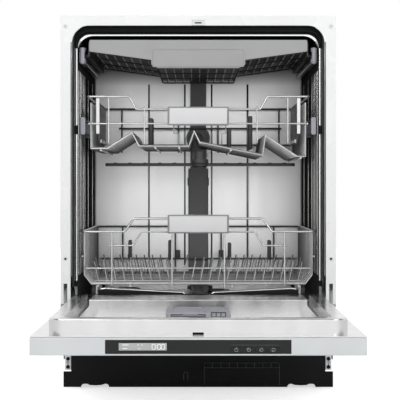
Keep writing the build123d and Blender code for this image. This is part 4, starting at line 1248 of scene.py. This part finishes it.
@dataclass
class Dispenser(Assembly):
    """Black slot of painted shade, latch and grate of the detergent dispenser."""

    slot_overhang: float = 2 * MM
    slot_depths: Span = mm(-0.5, 1)
    slot_heights: Span = mm(-7.5, -3)
    latch_insets: Span = mm(20, 12)
    latch_depths: Span = mm(-1.5, 5)
    latch_heights: Span = mm(-4, 1.5)
    grate_offset: float = 12 * MM
    grate_depths: Span = mm(-0.8, 3)
    rib_count: int = 4
    rib_pitch: float = 9 * MM
    rib_width: float = 2.2 * MM
    rib_heights: Span = mm(-8, 1.2)
    bar_length: float = 29.2 * MM
    bar_height: float = 1.4 * MM
    bar_feet: Span = mm(-8.6, -0.2)

    def build(self) -> None:
        """Builds the dispenser's details."""
        low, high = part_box("dispenser_body")
        lid_low, lid_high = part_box("dispenser_lid")
        face, top = low[1], high[2]
        # a black strip sunk across the lid stands as painted shade in its slot
        slot = Workshop.block("dispenser_slot_shade",
                              (lid_low[0] - self.slot_overhang, lid_high[0] + self.slot_overhang),
                              shifted(self.slot_depths, face), shifted(self.slot_heights, top), 0.5 * MM)
        Workshop.press(slot, FORWARD, 0.8 * MM, -0.6 * MM)
        Workshop.fit(slot, "door", self.finishes.black, Slot.BLACK)
        latch = Workshop.block("dispenser_latch",
                               (lid_low[0] + self.latch_insets[0], lid_high[0] - self.latch_insets[1]),
                               shifted(self.latch_depths, face), shifted(self.latch_heights, top), 0.9 * MM)
        Workshop.press(latch, UPWARD, 1.5 * MM, -0.8 * MM)
        Workshop.fit(latch, "door", self.finishes.lavender, Slot.LAVENDER)
        start = lid_high[0] + self.grate_offset
        deep = shifted(self.grate_depths, face)
        parts = []
        for index in range(self.rib_count):
            x = start + index * self.rib_pitch
            parts.append(Workshop.block("rib", (x, x + self.rib_width), deep,
                                        shifted(self.rib_heights, top), 0.5 * MM))
        for foot in self.bar_feet:
            z = top + foot
            parts.append(Workshop.block("bar", (start, start + self.bar_length), deep,
                                        (z, z + self.bar_height), 0.4 * MM))
        Workshop.fit(Workshop.join(parts, "dispenser_grate"), "door", self.finishes.line, Slot.DARK_GREY)


@dataclass
class Base(Assembly):
    """White corner plates, their screws and the raised details of the plinth."""

    plate_setback: float = 4 * MM
    plate_thick: float = 0.9 * MM
    plate_x: Span = mm(282.2, 294.4)
    plate_z: Span = mm(39.5, 98)
    screw_z: Span = mm(63.6, 45.5)
    head_radius: float = 4.2 * MM
    head_height: float = 1.6 * MM
    head_rise: float = 0.4 * MM
    stem_half: float = 0.9 * MM
    stem_rise: float = 0.6 * MM
    cover_inset: float = 1.5 * MM
    cover_foot: float = 2 * MM
    cover_rise: float = 0.2 * MM
    cover_slots: int = 9
    slot_height: float = 12 * MM
    outline: float = 0.45 * MM
    tab_x: float = -27.5 * MM
    tab_half: float = 4.6 * MM
    tab_heights: Span = mm(17, 30)
    tab_rise: float = 0.3 * MM
    tab_wire: float = 0.5 * MM

    def build(self) -> None:
        """Builds the base's details."""
        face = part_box("plinth_panel")[0][1]
        self.corner_plates(face + self.plate_setback)
        self.cover()
        self.tab(face - self.tab_rise)

    def corner_plates(self, face: float) -> None:
        """Builds the white plate in each corner with its two screws.

        Args:
            face: Y of the plates' face.
        """
        plate = Workshop.block("right_corner_plate", self.plate_x, (face, face + self.plate_thick),
                               self.plate_z, 0.3 * MM)
        Workshop.press(plate, FORWARD, 1.4 * MM, -0.3 * MM)
        middle = sum(self.plate_x) / 2
        parts = []
        for z in self.screw_z:
            head = Workshop.disc("head", (middle, face - self.head_rise, z), self.head_radius,
                                 self.head_height)
            parts.append(Workshop.press(head, FORWARD, 1.4 * MM, -0.6 * MM))
        parts.append(Workshop.block("stem", (middle - self.stem_half, middle + self.stem_half),
                                    (face - self.stem_rise, face + SUNK),
                                    (self.screw_z[1], self.screw_z[0]), 0.3 * MM))
        screws = Workshop.join(parts, "right_corner_screws")
        Workshop.fit_pair(plate, "cabinet", self.finishes.white, Slot.WHITE)
        Workshop.fit_pair(screws, "cabinet", self.finishes.black, Slot.BLACK)

    def cover(self) -> None:
        """Frames the service cover and its slots."""
        low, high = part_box("service_cover")
        y = low[1] - self.cover_rise
        left, right = low[0] + self.cover_inset, high[0] - self.cover_inset
        foot, top = low[2] + self.cover_foot, high[2] - self.cover_inset
        shelf = high[2] - self.slot_height
        parts = [Workshop.wire("frame", [(left, y, foot), (left, y, top), (right, y, top), (right, y, foot)],
                               self.outline),
                 Workshop.wire("shelf", [(left, y, shelf), (right, y, shelf)], 0.35 * MM)]
        step = (right - left) / self.cover_slots
        for index in range(1, self.cover_slots):
            x = left + index * step
            parts.append(Workshop.wire("bar", [(x, y, shelf), (x, y, top)], 0.4 * MM))
        Workshop.fit(Workshop.join(parts, "service_cover_ribs"), "cabinet", self.finishes.line, Slot.BLACK)

    def tab(self, y: float) -> None:
        """Raises the small arched tab beside the cover.

        Args:
            y: Y of the tab's outline.
        """
        foot, spring = self.tab_heights
        bend = [(self.tab_x + x, y, spring + z) for x, z in arc(self.tab_half, 180, 0, 12)]
        points = [(bend[0][0], y, foot), *bend, (bend[-1][0], y, foot)]
        Workshop.fit(Workshop.wire("plinth_tab", points, self.tab_wire), "cabinet",
                     self.finishes.line, Slot.BLACK)


# --------------------------------------------------------------------------
# Studio
# --------------------------------------------------------------------------
@dataclass
class Studio:
    """Pale floor, plain white surround, soft lights and the camera."""

    camera_reach: float = 2.93
    camera_height: float = 0.4437
    lens: float = 121.6
    shift: tuple[float, float] = (0.0044, -0.0325)
    white: Colour = (1.0, 1.0, 1.0)
    room_tone: Colour = (0.22, 0.22, 0.22)
    front_glow: Colour = (1.3, 1.3, 1.3)
    floor_size: float = 14.0
    floor_drop: float = 0.5 * MM
    floor_tones: tuple[Colour, Colour] = ((0.93, 0.93, 0.93), (0.95, 0.95, 0.95))
    floor_glow: float = 0.6
    lamp_size: float = 1.6
    lamps: tuple[tuple[str, Point, float], ...] = (
        ("key_light", (-1.2, -2.6, 2.3), 34.0), ("fill_light", (1.5, -2.8, 1.6), 22.0))
    aim_height: float = 0.4

    def build(self, front: float) -> None:
        """Builds the whole studio.

        Args:
            front: Y of the cabinet's front face.
        """
        self.surround()
        self.floor()
        self.lights(front)
        self.camera(front)

    def surround(self) -> None:
        """Makes the surround: white to the camera, darker above and brighter ahead in mirrored light."""
        world = bpy.data.worlds.new("studio_surround")
        bpy.context.scene.world = world
        world.use_nodes = True
        bench = NodeBench(world.node_tree)
        background = world.node_tree.nodes["Background"]
        place = bench.add("ShaderNodeTexCoord")
        apart = bench.add("ShaderNodeSeparateXYZ")
        bench.join(place.outputs["Generated"], apart.inputs[0])
        height = bench.ramp(apart.outputs["Z"], 0.02, 0.20)
        front = bench.ramp(apart.outputs["Y"], 0.1, -0.2)
        room = bench.blend(bench.combine("MULTIPLY", height, front), self.white, self.room_tone)
        ahead = bench.ramp(apart.outputs["Y"], -0.80, -0.95)
        mirrored = bench.blend(ahead, room, self.front_glow)
        ray = bench.add("ShaderNodeLightPath")
        colour = bench.blend(ray.outputs["Is Camera Ray"], mirrored, self.white)
        bench.join(colour, background.inputs["Color"])
        background.inputs["Strength"].default_value = 1.0

    def floor(self) -> None:
        """Lays a pale floor that looks white to the camera."""
        bpy.ops.object.select_all(action="DESELECT")
        bpy.ops.mesh.primitive_plane_add(size=self.floor_size, location=(0, 0, -self.floor_drop))
        ground = bpy.context.active_object
        ground.name = "studio_floor"
        material, bench, shader = start_material("pale_floor")
        grain = add_group(bench, Groups.grain, Scale=60.0)
        patch = bench.ramp(grain.outputs["Patch"], 0.3, 0.7)
        bench.join(bench.blend(patch, *self.floor_tones), shader.inputs["Base Color"])
        shader.inputs["Roughness"].default_value = 0.7
        shader.inputs["Emission Color"].default_value = (*self.white, 1.0)
        ray = bench.add("ShaderNodeLightPath")
        bench.join(bench.ramp(ray.outputs["Is Camera Ray"], 0.0, 1.0, 0.0, self.floor_glow),
                   shader.inputs["Emission Strength"])
        ground.data.materials.append(material)

    def lights(self, front: float) -> None:
        """Hangs the soft lights.

        Args:
            front: Y of the cabinet's front face.
        """
        for name, (x, y, z), power in self.lamps:
            bpy.ops.object.light_add(type="AREA", location=(x, front + y, z))
            lamp = bpy.context.active_object
            lamp.name = name
            lamp.data.size = self.lamp_size
            lamp.data.energy = power
            way = Vector((-x, -y, self.aim_height - z))
            lamp.rotation_euler = way.to_track_quat("-Z", "Y").to_euler()

    def camera(self, front: float) -> None:
        """Sets the camera level, square to the cabinet's front.

        Args:
            front: Y of the cabinet's front face.
        """
        bpy.ops.object.camera_add(location=(0, front - self.camera_reach, self.camera_height),
                                  rotation=(math.radians(90), 0, 0))
        camera = bpy.context.active_object
        camera.name = "front_camera"
        camera.data.sensor_width = 36.0
        camera.data.lens = self.lens
        camera.data.shift_x, camera.data.shift_y = self.shift
        bpy.context.scene.camera = camera


def main() -> None:
    """Builds the looks in order."""
    logging.basicConfig(level=logging.INFO, format="%(message)s")
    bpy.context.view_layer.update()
    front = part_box("left_side_panel")[0][1]
    dress_nodes()
    finishes = Finishes()
    Studio().build(front)
    for assembly in (Tub, UpperBasket, LowerBasket, CutleryTray, ControlPanel, Dispenser, Base):
        assembly(finishes, front).build()
    bpy.context.scene.view_settings.view_transform = "Standard"


if __name__ == "__main__":
    main()
